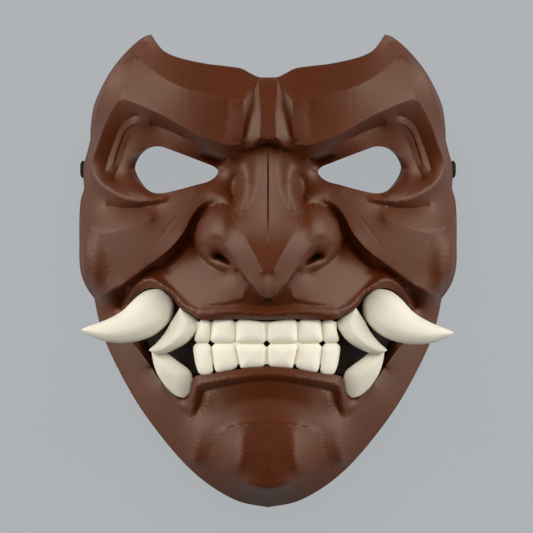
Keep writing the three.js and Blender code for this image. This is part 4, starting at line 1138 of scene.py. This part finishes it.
def grainedResin(name, finish):
    material, tree, shader = newMaterial(name)
    place = addNode(tree, "ShaderNodeTexCoord").outputs["Object"]
    patch = addNode(tree, "ShaderNodeTexNoise", Vector=place, Scale=perMetre(finish["patch"]), Detail=3)
    addTones(tree, shader, finish["tones"], patch.outputs["Fac"])
    shader.inputs["Roughness"].default_value = finish["roughness"]
    shader.inputs["Specular IOR Level"].default_value = finish["specular"]
    grain = addNode(tree, "ShaderNodeTexNoise", Vector=place, Scale=perMetre(finish["grain"]), Detail=2)
    strength, height = finish["grainBump"]
    bump = addNode(tree, "ShaderNodeBump", Height=grain.outputs["Fac"], Strength=strength,
                   Distance=height * mm)
    tree.links.new(bump.outputs[0], shader.inputs["Normal"])
    return material


brownFinish = satinResin()
creamFinish = grainedResin("creamResin", cream)
blackFinish = grainedResin("blackMoulding", black)

makeShell().data.materials.append(brownFinish)
creamPieces = [makeRow("upper_teeth"), makeRow("lower_teeth")]
for side in (1, -1):
    creamPieces += [makeTusk(side), makeFang("upper_fang", side), makeFang("lower_fang", side)]
for piece in creamPieces:
    piece.data.materials.append(creamFinish)
for name in ("mouth_tray", "strap_cap_left", "strap_cap_right"):
    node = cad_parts[name]
    node.data.materials.clear()
    node.data.materials.append(blackFinish)
print("tusks, fangs and the black parts are dressed")

# The floor, the lights and the camera, in metres
studio = {
    "grey": "#aeb2b5",
    "floorSize": 6,
    "floorDrop": 0.0005,
    "floorTone": (0.05, 0.05, 0.05, 1),
    "glow": 0.915,            # the floor's own light, which keeps it pale and even
    "air": (0.5, 0.5, 0.5, 1),
    "airStrength": 0.08,
    "aim": (0, 0, 0.05),
    "pairs": {                # on both sides: the place at the right, the size and the power in watts
        "Strip": ((1.24, 0.33, 0.23), (1.2, 0.55), 8.5),
        "Sheet": ((1.09, 0.29, 0.7), (1.5, 0.8), 6),
    },
    "overhead": ((0.0, 0.7, 1.7), (1.6, 1.2), 19),   # it lights without a reflection of its own
    "sensor": 36,
    "farthest": 20,
}


def addArea(name, place, size, power, reflected=True):
    light = bpy.data.lights.new(name, "AREA")
    light.shape = "RECTANGLE"
    light.size, light.size_y = size
    light.energy = power
    item = bpy.data.objects.new(name, light)
    item.visible_glossy = reflected
    bpy.context.scene.collection.objects.link(item)
    item.location = place
    item.rotation_euler = (Vector(studio["aim"]) - Vector(place)).to_track_quat("-Z", "Y").to_euler()


def makeStudio():
    bpy.ops.mesh.primitive_plane_add(size=studio["floorSize"], location=(0, 0, -studio["floorDrop"]))
    floor = bpy.context.object
    floor.name = "studioFloor"
    material, _, shader = newMaterial("paleFloor")
    shader.inputs["Base Color"].default_value = studio["floorTone"]
    shader.inputs["Roughness"].default_value = 1.0
    shader.inputs["Specular IOR Level"].default_value = 0.0
    shader.inputs["Emission Color"].default_value = colour(studio["grey"])
    shader.inputs["Emission Strength"].default_value = studio["glow"]
    floor.data.materials.append(material)

    for name, side in (("left", -1), ("right", 1)):
        for kind, ((x, y, z), size, power) in studio["pairs"].items():
            addArea(name + kind, (side * x, y, z), size, power)
    addArea("overheadSheet", *studio["overhead"], reflected=False)

    world = bpy.data.worlds.new("studioAir")
    bpy.context.scene.world = world
    world.use_nodes = True
    air = world.node_tree.nodes["Background"]
    air.inputs["Color"].default_value = studio["air"]
    air.inputs["Strength"].default_value = studio["airStrength"]

    cameraData = bpy.data.cameras.new("camera")
    camera = bpy.data.objects.new("camera", cameraData)
    bpy.context.scene.collection.objects.link(camera)
    camera.location = (view["centreX"] * mm, (view["centreY"] + view["shiftY"]) * mm, view["distance"] * mm)
    cameraData.sensor_width = studio["sensor"]
    cameraData.lens = studio["sensor"] * view["distance"] / view["width"]
    cameraData.clip_end = studio["farthest"]
    bpy.context.scene.camera = camera
    bpy.context.scene.view_settings.view_transform = "Standard"


makeStudio()
print("floor, lights and camera are set")
